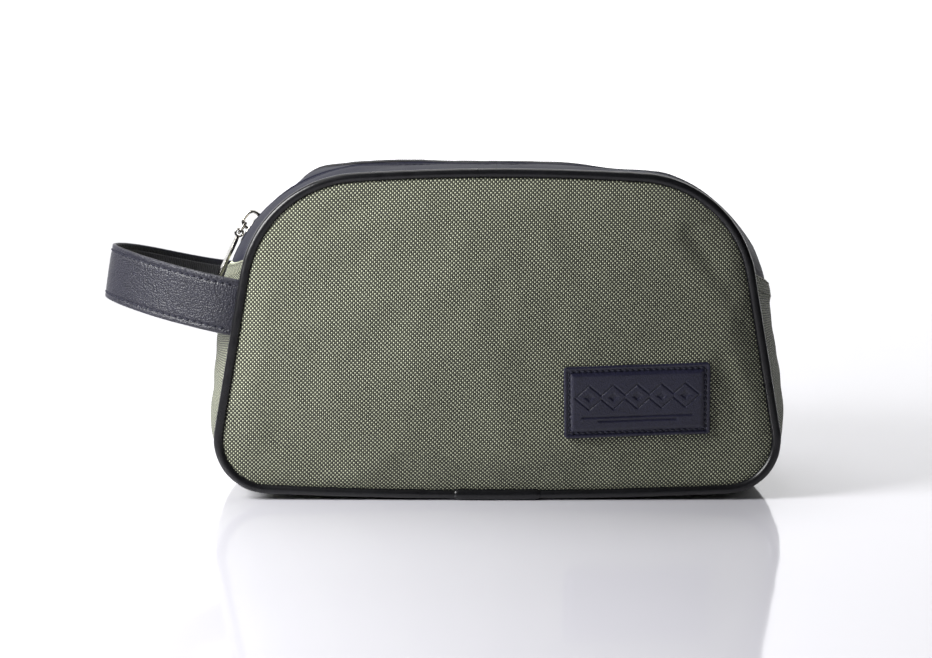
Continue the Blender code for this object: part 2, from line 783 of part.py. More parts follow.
def loop_point(path, place, height, depth):
    """A point of the loop: along the path, across its width and inwards from its face."""
    k = min(int(place), len(path) - 2)
    here = path[k] + (place - k) * (path[k + 1] - path[k])
    ahead = path[k + 1] - path[k]
    ahead = ahead / np.linalg.norm(ahead)
    inwards = np.array([-ahead[1], ahead[0]])
    out, y = here + depth * inwards
    seam, outward, upward = loop_frame()
    x, z = seam + out * outward + height * upward
    return np.array([x, y, z])


def loop_slab(name, width, depths, ends, steps, finish, origin=(0, 0, 0)):
    """A strap piece; ends(path, height) gives where it starts and stops along the path."""
    path = loop_path()
    grids = []
    for depth in depths:
        rows = []
        for share in np.linspace(0, 1, steps[0]):
            row = []
            for height in np.linspace(-width / 2, width / 2, steps[1]):
                first, last = ends(path, height)
                row.append(loop_point(path, first + share * (last - first), height, depth))
            rows.append(row)
        grids.append(rows)
    return slab(name, np.array(grids[0]), np.array(grids[1]), finish, origin)


def place_at(path, out):
    """The first place on the path that lies this far from the seam."""
    return float(np.interp(out, path[: len(path) // 2, 0], np.arange(len(path) // 2)))


def round_root(path, height, radius):
    """Where the strap crosses a circle of this radius round the loop's pivot."""
    return place_at(path, LOOP_PIVOT - math.sqrt(radius**2 - height**2))


def build_loop():
    """The wrist loop of leather lined with webbing, and its short sewn-in roots."""
    pivot = loop_pivot()

    def whole(path, height):
        first = round_root(path, height, LOOP_ROOT_RADIUS)
        return first, len(path) - 1 - first

    def front_root(path, height):
        return 0, round_root(path, height, LOOP_ROOT_RADIUS + CLEARANCE)

    def back_root(path, height):
        first, last = front_root(path, height)
        return len(path) - 1 - first, len(path) - 1 - last

    depths = (-LOOP_LEATHER, 0)
    loop_slab("strap_leather", LOOP_WIDTH, depths, whole, LOOP_STEPS, "navy_leather", pivot)
    depths = (CLEARANCE, CLEARANCE + WEBBING_THICK)
    loop_slab("strap_webbing", WEBBING_WIDTH, depths, whole, LOOP_STEPS, "black_tape", pivot)
    depths = (-LOOP_LEATHER, 0)
    loop_slab("strap_root_front", LOOP_WIDTH, depths, front_root, ROOT_STEPS, "navy_leather")
    loop_slab("strap_root_back", LOOP_WIDTH, depths, back_root, ROOT_STEPS, "navy_leather")


def build_patch():
    """The leather patch, curved to lie on the crowned front panel."""
    outer = []
    inner = []
    for u in np.linspace(-0.5, 0.5, 9):
        high = []
        low = []
        for v in np.linspace(-0.5, 0.5, 5):
            a, b = u * PATCH_LENGTH, v * PATCH_HEIGHT
            x = PATCH_CENTRE[0] + a * math.cos(PATCH_TURN) - b * math.sin(PATCH_TURN)
            z = PATCH_CENTRE[1] + a * math.sin(PATCH_TURN) + b * math.cos(PATCH_TURN)
            y = panel_depth(x, z) + CLEARANCE
            high.append((x, -y - PATCH_THICK, z))
            low.append((x, -y, z))
        outer.append(high)
        inner.append(low)
    slab("leather_patch", np.array(outer), np.array(inner), "navy_leather")


def main():
    for existing in list(bpy.data.objects):
        bpy.data.objects.remove(existing)
    build_panels()
    build_strip()
    build_band()
    build_stops()
    build_slider()
    build_loop()
    build_patch()


main()
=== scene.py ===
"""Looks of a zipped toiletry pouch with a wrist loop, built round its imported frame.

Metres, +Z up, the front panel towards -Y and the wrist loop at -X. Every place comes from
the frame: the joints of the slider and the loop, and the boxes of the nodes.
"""

import json
import logging
import math
from dataclasses import dataclass, field
from enum import Enum

import bpy
import numpy as np
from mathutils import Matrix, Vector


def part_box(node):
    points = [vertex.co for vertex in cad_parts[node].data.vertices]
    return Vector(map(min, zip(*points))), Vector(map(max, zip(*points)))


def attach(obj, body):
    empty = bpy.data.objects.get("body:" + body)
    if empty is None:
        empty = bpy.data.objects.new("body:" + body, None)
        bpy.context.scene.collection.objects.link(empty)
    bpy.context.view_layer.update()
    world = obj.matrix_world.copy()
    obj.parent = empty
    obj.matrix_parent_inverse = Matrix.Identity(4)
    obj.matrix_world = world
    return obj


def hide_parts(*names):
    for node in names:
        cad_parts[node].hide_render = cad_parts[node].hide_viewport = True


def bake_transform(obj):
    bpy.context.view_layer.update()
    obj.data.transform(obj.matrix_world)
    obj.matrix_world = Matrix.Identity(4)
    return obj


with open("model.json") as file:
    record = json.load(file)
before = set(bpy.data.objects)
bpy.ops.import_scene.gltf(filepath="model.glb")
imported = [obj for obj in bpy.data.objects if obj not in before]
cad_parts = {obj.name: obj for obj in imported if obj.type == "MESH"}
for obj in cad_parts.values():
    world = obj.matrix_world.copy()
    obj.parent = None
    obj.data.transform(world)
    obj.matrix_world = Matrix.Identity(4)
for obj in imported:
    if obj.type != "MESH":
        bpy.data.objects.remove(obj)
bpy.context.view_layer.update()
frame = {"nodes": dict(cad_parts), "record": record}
LOG = logging.getLogger("pouch")
MM = 0.001


class Side(Enum):
    """The front or the back half of the pouch, as the sign of its Y."""

    FRONT = -1
    BACK = 1

    @property
    def word(self) -> str:
        """The side's word in the node names."""
        return self.name.lower()


class End(Enum):
    """The left or the right end of the pouch, as the sign of its X."""

    LEFT = -1
    RIGHT = 1

    @property
    def word(self) -> str:
        """The end's word in the node names."""
        return self.name.lower()


def joint(name: str) -> dict:
    """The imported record's joint of this name."""
    return next(j for j in frame["record"]["behaviour"]["joints"] if j["name"] == name)


def box(node: str) -> np.ndarray:
    """The lowest and the highest corner of a frame node, as two rows."""
    return np.array([list(corner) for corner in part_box(node)])


# ---------------------------------------------------------------- meshes from arrays


def put_mesh(name: str, points: np.ndarray, faces: list, uvs: np.ndarray = None) -> bpy.types.Object:
    """A smooth mesh object from arrays.

    Args:
        name: The piece's name.
        points: Vertices, one row each.
        faces: Rows of vertex numbers.
        uvs: One (u, v) row for each face corner, or None.

    Returns:
        The object, linked to the scene, with its place in its mesh.
    """
    mesh = bpy.data.meshes.new(name)
    mesh.from_pydata(np.asarray(points).reshape(-1, 3).tolist(), [], faces)
    mesh.polygons.foreach_set("use_smooth", [True] * len(mesh.polygons))
    if uvs is not None:
        layer = mesh.uv_layers.new(name="cloth")
        layer.data.foreach_set("uv", np.asarray(uvs, np.float32).ravel())
    made = bpy.data.objects.new(name, mesh)
    bpy.context.scene.collection.objects.link(made)
    return made


def volume(points: np.ndarray, quads: np.ndarray) -> float:
    """The signed volume inside closed quads: the sum of the corner tetrahedra."""
    a, b, c, d = (points[quads[:, k]] for k in range(4))
    first = np.einsum("ij,ij->i", a, np.cross(b, c))
    second = np.einsum("ij,ij->i", a, np.cross(c, d))
    return float((first + second).sum() / 6)


def surface(
    name: str,
    grid: np.ndarray,
    uv: np.ndarray = None,
    ring: bool = False,
    loop: bool = False,
    capped: bool = False,
    flip: bool = False,
) -> bpy.types.Object:
    """A surface over a grid of points.

    Args:
        name: The piece's name.
        grid: Points, shape (rows, columns, 3).
        uv: (u, v) of each point, with one more column if ring and one more row if loop.
        ring: Joins the last column to the first.
        loop: Joins the last row to the first.
        capped: Closes both end rows with a fan round their middle.
        flip: Turns the faces of an open sheet over. A closed one is turned by its volume.

    Returns:
        The new object.
    """
    rows, columns = grid.shape[:2]
    number = np.arange(rows * columns).reshape(rows, columns)
    if ring:
        number = np.concatenate([number, number[:, :1]], axis=1)
    if loop:
        number = np.concatenate([number, number[:1]], axis=0)
    corners = [number[:-1, :-1], number[:-1, 1:], number[1:, 1:], number[1:, :-1]]
    quads = np.stack(corners, axis=-1).reshape(-1, 4)
    points = grid.reshape(-1, 3)
    if capped:
        middles = np.stack([grid[0].mean(axis=0), grid[-1].mean(axis=0)])
        points = np.concatenate([points, middles])
        first = np.stack([number[0, 1:], number[0, :-1]], axis=1)
        last = np.stack([number[-1, :-1], number[-1, 1:]], axis=1)
        fans = [
            np.concatenate([edge, np.full((len(edge), 1), len(points) - 2 + k)], axis=1)
            for k, edge in enumerate((first, last))
        ]
        fans = np.concatenate(fans)
    if ring and (capped or loop):
        whole = quads
        if capped:
            whole = np.concatenate([quads, np.concatenate([fans, fans[:, 2:]], axis=1)])
        flip = volume(points, whole) < 0
    faces = (quads[:, ::-1] if flip else quads).tolist()
    if capped:
        faces += (fans[:, ::-1] if flip else fans).tolist()
    corner_uv = None
    if uv is not None:
        places = [uv[:-1, :-1], uv[:-1, 1:], uv[1:, 1:], uv[1:, :-1]]
        corner_uv = np.stack(places, axis=-2).reshape(-1, 4, 2)
        corner_uv = corner_uv[:, ::-1] if flip else corner_uv
        corner_uv = corner_uv.reshape(-1, 2)
        if capped:
            corner_uv = np.concatenate([corner_uv, np.zeros((3 * len(fans), 2))])
    return put_mesh(name, points, faces, corner_uv)


def unit(rows: np.ndarray) -> np.ndarray:
    """Each row divided by its length."""
    return rows / np.maximum(np.linalg.norm(rows, axis=-1, keepdims=True), 1e-12)


def along(points: np.ndarray) -> np.ndarray:
    """The distance of each point from the first, measured along the line."""
    steps = np.linalg.norm(np.diff(points, axis=0), axis=1)
    return np.concatenate([[0], np.cumsum(steps)])


def tube(centres: np.ndarray, first: np.ndarray, second: np.ndarray, radius, sides: int) -> np.ndarray:
    """Points of a tube: centre + radius (cos a · first + sin a · second).

    Args:
        centres: The middle line, one row each.
        first: A direction across the line for each centre.
        second: The direction across both.
        radius: One number, or one for each centre.
        sides: Points round the tube.

    Returns:
        A grid, shape (len(centres), sides, 3).
    """
    angle = np.linspace(0, 2 * math.pi, sides, endpoint=False)
    radius = np.broadcast_to(np.asarray(radius, float), (len(centres),))[:, None, None]
    across = np.cos(angle)[None, :, None] * first[:, None] + np.sin(angle)[None, :, None] * second[:, None]
    return centres[:, None] + radius * across


def round_bar(width: float, thick: float, steps: int = 6, across: int = 14) -> np.ndarray:
    """Outline of a strip's section with half-round edges, as (across, deep) rows."""
    radius = thick / 2
    turn = np.linspace(-math.pi / 2, math.pi / 2, steps)
    right = np.stack([width / 2 - radius + radius * np.cos(turn), radius * np.sin(turn)], axis=1)
    flat = np.linspace(0, 1, across)[1:-1, None]
    top = right[-1] + flat * (np.array([-1, 1]) * right[-1] - right[-1])
    left = -right
    low = left[-1] + flat * (right[0] - left[-1])
    return np.concatenate([right, top, left, low])


def stitches(
    name: str, places: np.ndarray, ahead: np.ndarray, up: np.ndarray, length: float, radius: float
) -> bpy.types.Object:
    """A row of thread stitches: a flattened capsule that dips at both ends, once at each place.

    Args:
        name: The piece's name.
        places: The middle of each stitch on the cloth.
        ahead: The direction of each stitch.
        up: The cloth's outward normal at each.
        length: The length of a stitch.
        radius: Half the thread's width.

    Returns:
        One object with every stitch in it.
    """
    share = np.linspace(-1, 1, 7)
    thick = np.sqrt(np.maximum(1 - share**4, 0.0)) * radius
    angle = np.linspace(0, 2 * math.pi, 6, endpoint=False)
    ahead = unit(ahead)
    side = unit(np.cross(up, ahead))
    up = unit(np.cross(ahead, side))
    lift = 0.35 * radius - 0.9 * radius * share**2
    base = share[:, None] * np.ones(6) * length / 2
    wide = thick[:, None] * np.cos(angle)
    high = thick[:, None] * np.sin(angle) * 0.8 + lift[:, None]
    shape = np.stack([base, wide, high], axis=-1).reshape(-1, 3)
    axes = np.stack([ahead, side, up], axis=1)
    points = places[:, None] + np.einsum("kc,ncd->nkd", shape, axes)
    number = np.arange(42).reshape(7, 6)
    number = np.concatenate([number, number[:, :1]], axis=1)
    quads = np.stack([number[:-1, :-1], number[:-1, 1:], number[1:, 1:], number[1:, :-1]], axis=-1)
    quads = quads.reshape(-1, 4)[:, ::-1]
    if volume(points[0], quads) < 0:
        quads = quads[:, ::-1]
    every = quads[None] + 42 * np.arange(len(places))[:, None, None]
    return put_mesh(name, points.reshape(-1, 3), every.reshape(-1, 4).tolist())


def plate(outline: np.ndarray, low: float, high: float, edge: float) -> np.ndarray:
    """Rings over a flat plate with rounded edges, from the middle of one face to the other's.

    Ring k is the outline drawn in by edge · (1 - sin a) at height edge · cos a, for a from
    one face round to the other.

    Args:
        outline: (u, v) rows round the plate.
        low: Height of the lower face.
        high: Height of the upper face.
        edge: Radius of the rounded edge.

    Returns:
        A grid of (u, v, height), shape (rings, len(outline), 3).
    """
    middle = outline.mean(axis=0)
    reach = np.linalg.norm(outline - middle, axis=1, keepdims=True)
    rings = []
    for share in (0.02, 0.35, 0.7):
        rings.append((share, None, low))
    for turn in np.linspace(0, math.pi / 2, 4):
        rings.append((1, edge * (1 - math.sin(turn)), low + edge * (1 - math.cos(turn))))
    for turn in np.linspace(math.pi / 2, 0, 4):
        rings.append((1, edge * (1 - math.sin(turn)), high - edge * (1 - math.cos(turn))))
    for share in (0.7, 0.35, 0.02):
        rings.append((share, None, high))
    made = []
    for share, drawn, height in rings:
        inward = share * (1 - edge / reach) if drawn is None else 1 - drawn / reach
        flat = middle + (outline - middle) * inward
        made.append(np.concatenate([flat, np.full((len(flat), 1), height)], axis=1))
    return np.array(made)


# ---------------------------------------------------------------- finishes


def linear(code: str) -> tuple:
    """A linear RGBA colour from an sRGB hex code."""
    parts = [int(code[k : k + 2], 16) / 255 for k in (1, 3, 5)]
    return tuple(p / 12.92 if p <= 0.04045 else ((p + 0.055) / 1.055) ** 2.4 for p in parts) + (1.0,)


def add(tree: bpy.types.NodeTree, kind: str, inputs: dict = None, **settings) -> bpy.types.Node:
    """A node with its settings, values and links.

    Args:
        tree: The material's node tree.
        kind: The node's type name, without "ShaderNode".
        inputs: Socket name or number to a value, or to the socket that feeds it.
        settings: The node's own properties.

    Returns:
        The new node.
    """
    made = tree.nodes.new("ShaderNode" + kind)
    for key, value in settings.items():
        setattr(made, key, value)
    for key, value in (inputs or {}).items():
        if isinstance(value, bpy.types.NodeSocket):
            tree.links.new(value, made.inputs[key])
        else:
            made.inputs[key].default_value = value
    return made


def maths(tree: bpy.types.NodeTree, how: str, *values) -> bpy.types.NodeSocket:
    """The output of a Math node over one to three numbers or sockets."""
    return add(tree, "Math", dict(enumerate(values)), operation=how).outputs[0]


def ramp(tree: bpy.types.NodeTree, factor: bpy.types.NodeSocket, stops: list) -> bpy.types.NodeSocket:
    """The colour output of a Color Ramp with (place, hex code) stops."""
    made = add(tree, "ValToRGB", {"Fac": factor})
    elements = made.color_ramp.elements
    while len(elements) < len(stops):
        elements.new(0.5)
    for element, (place, code) in zip(elements, stops):
        element.position = place
        element.color = linear(code)
    return made.outputs["Color"]


def tinted(
    tree: bpy.types.NodeTree, colour: bpy.types.NodeSocket, factor: bpy.types.NodeSocket, code: str
) -> bpy.types.NodeSocket:
    """A colour multiplied towards another one by a factor."""
    made = add(tree, "Mix", data_type="RGBA", blend_type="MULTIPLY")
    tree.links.new(factor, made.inputs[0])
    tree.links.new(colour, made.inputs[6])
    made.inputs[7].default_value = linear(code)
    return made.outputs[2]


def noise(tree: bpy.types.NodeTree, vector: bpy.types.NodeSocket, size: float, detail: float = 2.0):
    """The 0 to 1 output of a noise whose blobs are about this many metres across."""
    inputs = {"Vector": vector, "Scale": 1 / size, "Detail": detail}
    return add(tree, "TexNoise", inputs).outputs[0]


@dataclass(frozen=True)
class Finish:
    """What every finish has: a name, a roughness and a way to build its nodes."""

    name: str
    roughness: float = 0.5

    def start(self) -> tuple:
        """A new material, its tree and its Principled shader."""
        made = bpy.data.materials.new(self.name)
        made.use_nodes = True
        shader = made.node_tree.nodes["Principled BSDF"]
        shader.inputs["Roughness"].default_value = self.roughness
        return made, made.node_tree, shader

    def bump(
        self, tree: bpy.types.NodeTree, shader: bpy.types.Node, height: bpy.types.NodeSocket, deep: float
    ) -> None:
        """Feeds a 0 to 1 height, this many metres deep, to the shader's normal."""
        inputs = {"Height": height, "Distance": deep, "Strength": 1.0}
        tree.links.new(add(tree, "Bump", inputs).outputs[0], shader.inputs["Normal"])


@dataclass(frozen=True)
class PlainWeave(Finish):
    """Woven nylon or polyester in a coarse plain weave: light and dark dots like a chequer.

    With u and v in threads, sin(pi u) · sin(pi v) is 1 where the weft is on top and -1
    where the warp is. Its size, drawn up by a power, is the rounded top of each float and
    falls to 0 in the pinholes between them.
    """

    light: str = "#dadfc0"
    middle: str = "#585b42"
    dark: str = "#080906"
    thread: float = 0.9 * MM
    skew: float = -0.05
    deep: float = 0.3 * MM

    def build(self) -> bpy.types.Material:
        """The material. The weave follows the piece's own UV map, in metres."""
        made, tree, shader = self.start()
        flat = add(tree, "UVMap", uv_map="cloth").outputs[0]
        drift = noise(tree, flat, 14 * MM, 1.0)
        moved = add(tree, "VectorMath", {0: flat}, operation="SCALE")
        moved.inputs["Scale"].default_value = math.pi / self.thread
        parts = add(tree, "SeparateXYZ", {0: moved.outputs[0]}).outputs
        bend = maths(tree, "MULTIPLY", drift, 2.4)
        across = maths(tree, "MULTIPLY_ADD", parts[1], self.skew, parts[0])
        upward = maths(tree, "MULTIPLY_ADD", parts[0], self.skew, parts[1])
        warp = maths(tree, "SINE", maths(tree, "ADD", across, bend))
        weft = maths(tree, "SINE", maths(tree, "ADD", upward, bend))
        over = maths(tree, "MULTIPLY", warp, weft)
        height = maths(tree, "POWER", maths(tree, "ABSOLUTE", over), 0.8)
        lean = maths(tree, "MULTIPLY_ADD", over, 0.44, maths(tree, "MULTIPLY", height, 0.8))
        uneven = noise(tree, flat, 1.1 * MM, 2.0)
        shade = maths(tree, "ADD", lean, maths(tree, "MULTIPLY_ADD", uneven, 0.4, -0.18))
        colour = ramp(tree, shade, [(0.16, self.dark), (0.5, self.middle), (0.86, self.light)])
        patchy = noise(tree, flat, 45 * MM, 3.0)
        colour = tinted(tree, colour, maths(tree, "MULTIPLY", patchy, 0.35), "#d8d8cc")
        tree.links.new(colour, shader.inputs["Base Color"])
        shader.inputs["Sheen Weight"].default_value = 0.15
        self.bump(tree, shader, height, self.deep)
        return made


@dataclass(frozen=True)
class GrainedLeather(Finish):
    """Coated leatherette with a printed pebble grain of small domes, and painted shade darkening the
    creases between them.
    """

    colour: str = "#4a4a58"
    worn: str = "#5d5d6c"
    grain: float = 0.9 * MM
    deep: float = 0.09 * MM
    shine: float = 0.5

    def build(self) -> bpy.types.Material:
        """The material, on the piece's own place in space."""
        made, tree, shader = self.start()
        space = add(tree, "TexCoord").outputs["Object"]
        shift = noise(tree, space, 3 * self.grain, 2.0)
        cells = add(tree, "TexVoronoi", {"Vector": space, "Scale": 1 / self.grain}, feature="F1")
        fine = noise(tree, space, 0.35 * self.grain, 3.0)
        dome = maths(tree, "SUBTRACT", 1.0, cells.outputs["Distance"])
        height = maths(tree, "MULTIPLY_ADD", fine, 0.35, maths(tree, "MULTIPLY", dome, 0.75))
        cloud = noise(tree, space, 22 * MM, 3.0)
        mixed = maths(tree, "MULTIPLY_ADD", shift, 0.5, maths(tree, "MULTIPLY", cloud, 0.5))
        colour = ramp(tree, mixed, [(0.3, self.colour), (0.7, self.worn)])
        # Painted shade: the colour is multiplied towards a dark grey in the creases between the grain's
        # domes, where the bump is lowest.
        crease_shade = maths(tree, "SUBTRACT", 1.0, dome)
        colour = tinted(tree, colour, maths(tree, "MULTIPLY", crease_shade, 0.7), "#6a6a70")
        tree.links.new(colour, shader.inputs["Base Color"])
        gloss = maths(tree, "MULTIPLY_ADD", cloud, 0.16, self.roughness - 0.08)
        tree.links.new(gloss, shader.inputs["Roughness"])
        shader.inputs["Specular IOR Level"].default_value = self.shine
        self.bump(tree, shader, height, self.deep)
        return made


@dataclass(frozen=True)
class PolishedNickel(Finish):
    """Nickel plate over a zinc casting: bright, with faint ripples and hairlines."""

    colour: str = "#9c9993"

    def build(self) -> bpy.types.Material:
        """The material."""
        made, tree, shader = self.start()
        space = add(tree, "TexCoord").outputs["Object"]
        shader.inputs["Base Color"].default_value = linear(self.colour)
        shader.inputs["Metallic"].default_value = 1.0
        handled = noise(tree, space, 2.5 * MM, 4.0)
        gloss = maths(tree, "MULTIPLY_ADD", handled, 0.14, self.roughness - 0.06)
        tree.links.new(gloss, shader.inputs["Roughness"])
        self.bump(tree, shader, noise(tree, space, 1.6 * MM, 2.0), 0.02 * MM)
        return made


@dataclass(frozen=True)
class RibbedWeb(Finish):
    """Narrow woven goods: ribs across the width and fine threads along it."""

    colour: str = "#17171a"
    lit: str = "#3a3a3e"
    rib: float = 1.0 * MM
    thread: float = 0.45 * MM
    slant: float = 0.0
    deep: float = 0.25 * MM

    def build(self) -> bpy.types.Material:
        """The material. Ribs follow the piece's own UV map, in metres."""
        made, tree, shader = self.start()
        flat = add(tree, "UVMap", uv_map="cloth").outputs[0]
        parts = add(tree, "SeparateXYZ", {0: flat}).outputs
        leaning = maths(tree, "MULTIPLY_ADD", parts[1], self.slant, parts[0])
        ribs = maths(tree, "SINE", maths(tree, "MULTIPLY", leaning, 2 * math.pi / self.rib))
        threads = maths(tree, "SINE", maths(tree, "MULTIPLY", parts[1], 2 * math.pi / self.thread))
        both = maths(tree, "MULTIPLY_ADD", threads, 0.22, maths(tree, "MULTIPLY", ribs, 0.28))
        height = maths(tree, "ADD", both, 0.5)
        fuzz = noise(tree, flat, 0.8 * MM, 3.0)
        shade = maths(tree, "ADD", height, maths(tree, "MULTIPLY_ADD", fuzz, 0.4, -0.2))
        colour = ramp(tree, shade, [(0.25, self.colour), (0.95, self.lit)])
        tree.links.new(colour, shader.inputs["Base Color"])
        self.bump(tree, shader, height, self.deep)
        return made


@dataclass(frozen=True)
class SpunThread(Finish):
    """Sewing thread or moulded nylon: one colour with a fine twist."""

    colour: str = "#22243a"
    lit: str = "#34374f"
    twist: float = 0.25 * MM

    def build(self) -> bpy.types.Material:
        """The material."""
        made, tree, shader = self.start()
        space = add(tree, "TexCoord").outputs["Object"]
        strands = noise(tree, space, self.twist, 2.0)
        colour = ramp(tree, strands, [(0.35, self.colour), (0.7, self.lit)])
        tree.links.new(colour, shader.inputs["Base Color"])
        self.bump(tree, shader, strands, 0.05 * MM)
        return made


@dataclass(frozen=True)
class StudioGround(Finish):
    """A glossy white table top that runs up into a backdrop."""

    colour: str = "#dddce3"

    def build(self) -> bpy.types.Material:
        """The material."""
        made, tree, shader = self.start()
        space = add(tree, "TexCoord").outputs["Object"]
        soft = noise(tree, space, 60 * MM, 2.0)
        gloss = maths(tree, "MULTIPLY_ADD", soft, 0.03, self.roughness)
        tree.links.new(gloss, shader.inputs["Roughness"])
        shader.inputs["Base Color"].default_value = linear(self.colour)
        shader.inputs["Specular IOR Level"].default_value = 0.9
        return made


@dataclass(frozen=True)
class GlowingSheet(Finish):
    """White cloth lit from behind: even, with a slightly softer middle."""

    strength: float = 1.15

    def build(self) -> bpy.types.Material:
        """The material."""
        made, tree, shader = self.start()
        space = add(tree, "TexCoord").outputs["Object"]
        soft = noise(tree, space, 0.8, 1.0)
        glow = maths(tree, "MULTIPLY_ADD", soft, 0.1, self.strength - 0.05)
        tree.links.new(glow, shader.inputs["Emission Strength"])
        shader.inputs["Emission Color"].default_value = linear("#ffffff")
        shader.inputs["Base Color"].default_value = linear("#fdfdff")
        return made


OLIVE = PlainWeave("olive plain-weave nylon", 0.62)
LINING = PlainWeave(
    "grey lining cloth", 0.75, "#8d8e92", "#737479", "#45464b", thread=0.4 * MM, deep=0.08 * MM
)
BOARD = SpunThread("pressed base board", 0.85, "#8b8377", "#9d958a", twist=1.5 * MM)
NAVY = GrainedLeather("navy grained leatherette", 0.38, "#1a1a27", "#242433", grain=0.8 * MM, deep=0.3 * MM)
BAND_NAVY = GrainedLeather(
    "navy smooth leatherette", 0.6, "#1b1c2c", "#252638", grain=0.8 * MM, deep=0.1 * MM, shine=0.12
)
PATCH_NAVY = GrainedLeather(
    "navy embossed leatherette", 0.36, "#222236", "#2c2c43", grain=0.6 * MM, deep=0.12 * MM, shine=0.5
)
CHARCOAL = GrainedLeather(
    "charcoal piping leatherette", 0.3, "#161618", "#1e1e21", grain=0.8 * MM, deep=0.03 * MM, shine=0.4
)
NICKEL = PolishedNickel("polished nickel plate", 0.13)
WEBBING = RibbedWeb("black ribbed webbing", 0.75)
TAPE = RibbedWeb(
    "black woven zip tape",
    0.7,
    "#131317",
    "#2c2c33",
    rib=0.9 * MM,
    thread=0.5 * MM,
    slant=1.0,
    deep=0.12 * MM,
)
COIL = SpunThread("black nylon coil", 0.35, "#101013", "#1e1e22", twist=0.5 * MM)
NAVY_THREAD = SpunThread("dark navy thread", 0.7, "#08091a", "#14162c")
OLIVE_THREAD = SpunThread("olive thread", 0.6, "#4c4d3e", "#6b6c59")
GROUND = StudioGround("glossy white acrylic", 0.06)
BACKDROP = GlowingSheet("lit white backdrop", 0.9, strength=1.35)


@dataclass
class Wardrobe:
    """Builds each finish once and hands it out."""

    made: dict = field(default_factory=dict)

    def of(self, finish: Finish) -> bpy.types.Material:
        """The material of a finish."""
        if finish.name not in self.made:
            self.made[finish.name] = finish.build()
        return self.made[finish.name]


WARDROBE = Wardrobe()


def dress(
    piece: bpy.types.Object, finish: Finish, body: str, nodes: tuple = ()
) -> bpy.types.Object:
    """Gives a piece its finish, its body and the nodes it stands for.

    Args:
        piece: The finished object.
        finish: What it is made of.
        body: The body it moves with, or an empty string to leave it unattached.
        nodes: Names of the frame nodes it replaces.

    Returns:
        The same piece.
    """
    piece.data.materials.clear()
    piece.data.materials.append(WARDROBE.of(finish))
    if nodes:
        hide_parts(*nodes)
    if body:
        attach(piece, body)
    return piece


# ---------------------------------------------------------------- the pouch's outlines


class Outline:
    """A closed outline of arcs, symmetrical about X = 0, read by place.

    Place 0 is the middle of the base, 1 the start of the right foot arc, 2 and 3 the ends
    of the straight side, 4 the end of the shoulder arc, 6 the middle of the top. The left
    half mirrors it up to place 12.
    """

    STEPS = 240

    def __init__(
        self,
        half_width: float,
        low: float,
        high: float,
        top: float,
        shoulder: float,
        foot: float,
        base: float,
        lean: float,
    ) -> None:
        """Works out the arcs' centres and a fine table of points and normals."""
        base_angle = math.asin((half_width - foot) / (base - foot))
        foot_centre = np.array([half_width - foot, low + base - (base - foot) * math.cos(base_angle)])
        side = np.array([math.cos(lean), math.sin(lean)])
        offset = side @ foot_centre + foot - shoulder - math.sin(lean) * (high - top)
        top_angle = math.asin(offset / (top - shoulder)) - lean
        self.shoulder = shoulder
        self.lean = lean
        self.top_angle = top_angle
        self.shoulder_centre = np.array(
            [(top - shoulder) * math.sin(top_angle), high - top + (top - shoulder) * math.cos(top_angle)]
        )
        share = np.linspace(0, 1, self.STEPS, endpoint=False)
        quarter = math.pi / 2
        turns = [
            (np.array([0, low + base]), base, -quarter, base_angle - quarter),
            (foot_centre, foot, base_angle - quarter, lean),
            None,
            (self.shoulder_centre, shoulder, lean, quarter - top_angle),
            (np.array([0, high - top]), top, quarter - top_angle, quarter),
        ]
        points = []
        normals = []
        for arc in turns:
            if arc is None:
                lower = foot_centre + foot * side
                upper = self.shoulder_centre + shoulder * side
                points.append(lower + share[:, None] * (upper - lower))
                normals.append(np.broadcast_to(side, (self.STEPS, 2)))
                continue
            centre, radius, first, last = arc
            angle = first + share * (last - first)
            spoke = np.stack([np.cos(angle), np.sin(angle)], axis=1)
            points.append(centre + radius * spoke)
            normals.append(spoke)
        marks = [0 + share, 1 + share, 2 + share, 3 + share, 4 + 2 * share]
        right = np.concatenate(points + [[[0, high]]])
        facing = np.concatenate(normals + [[[0, 1]]])
        self.places = np.concatenate(marks + [[6.0]])
        flip = np.array([-1, 1])
        self.places = np.concatenate([self.places, 12 - self.places[-2::-1]])
        self.points = np.concatenate([right, right[-2::-1] * flip])
        self.normals = np.concatenate([facing, facing[-2::-1] * flip])
        self.lengths = along(self.points)

    def at(self, place: np.ndarray, inset=0.0) -> np.ndarray:
        """(x, z) at these places, this far inside: point - inset · normal."""
        place = np.asarray(place, float) % 12
        x = np.interp(place, self.places, self.points[:, 0])
        z = np.interp(place, self.places, self.points[:, 1])
        nx = np.interp(place, self.places, self.normals[:, 0])
        nz = np.interp(place, self.places, self.normals[:, 1])
        return np.stack([x - inset * nx, z - inset * nz], axis=-1)

    def normal(self, place: np.ndarray) -> np.ndarray:
        """The outward normal (x, z) at these places."""
        place = np.asarray(place, float) % 12
        return np.stack(
            [np.interp(place, self.places, self.normals[:, k]) for k in range(2)], axis=-1
        )

    def length(self, place: np.ndarray) -> np.ndarray:
        """Distance along the outline from place 0."""
        return np.interp(place, self.places, self.lengths)

    def place_at(self, length: np.ndarray) -> np.ndarray:
        """The place at this distance along the outline; it may run past either end."""
        whole = self.lengths[-1]
        return np.interp(np.asarray(length) % whole, self.lengths, self.places)

    def shoulder_place(self, angle: float) -> float:
        """The place on the right shoulder whose radius makes this angle with the level."""
        return 3 + (angle - self.lean) / (math.pi / 2 - self.top_angle - self.lean)


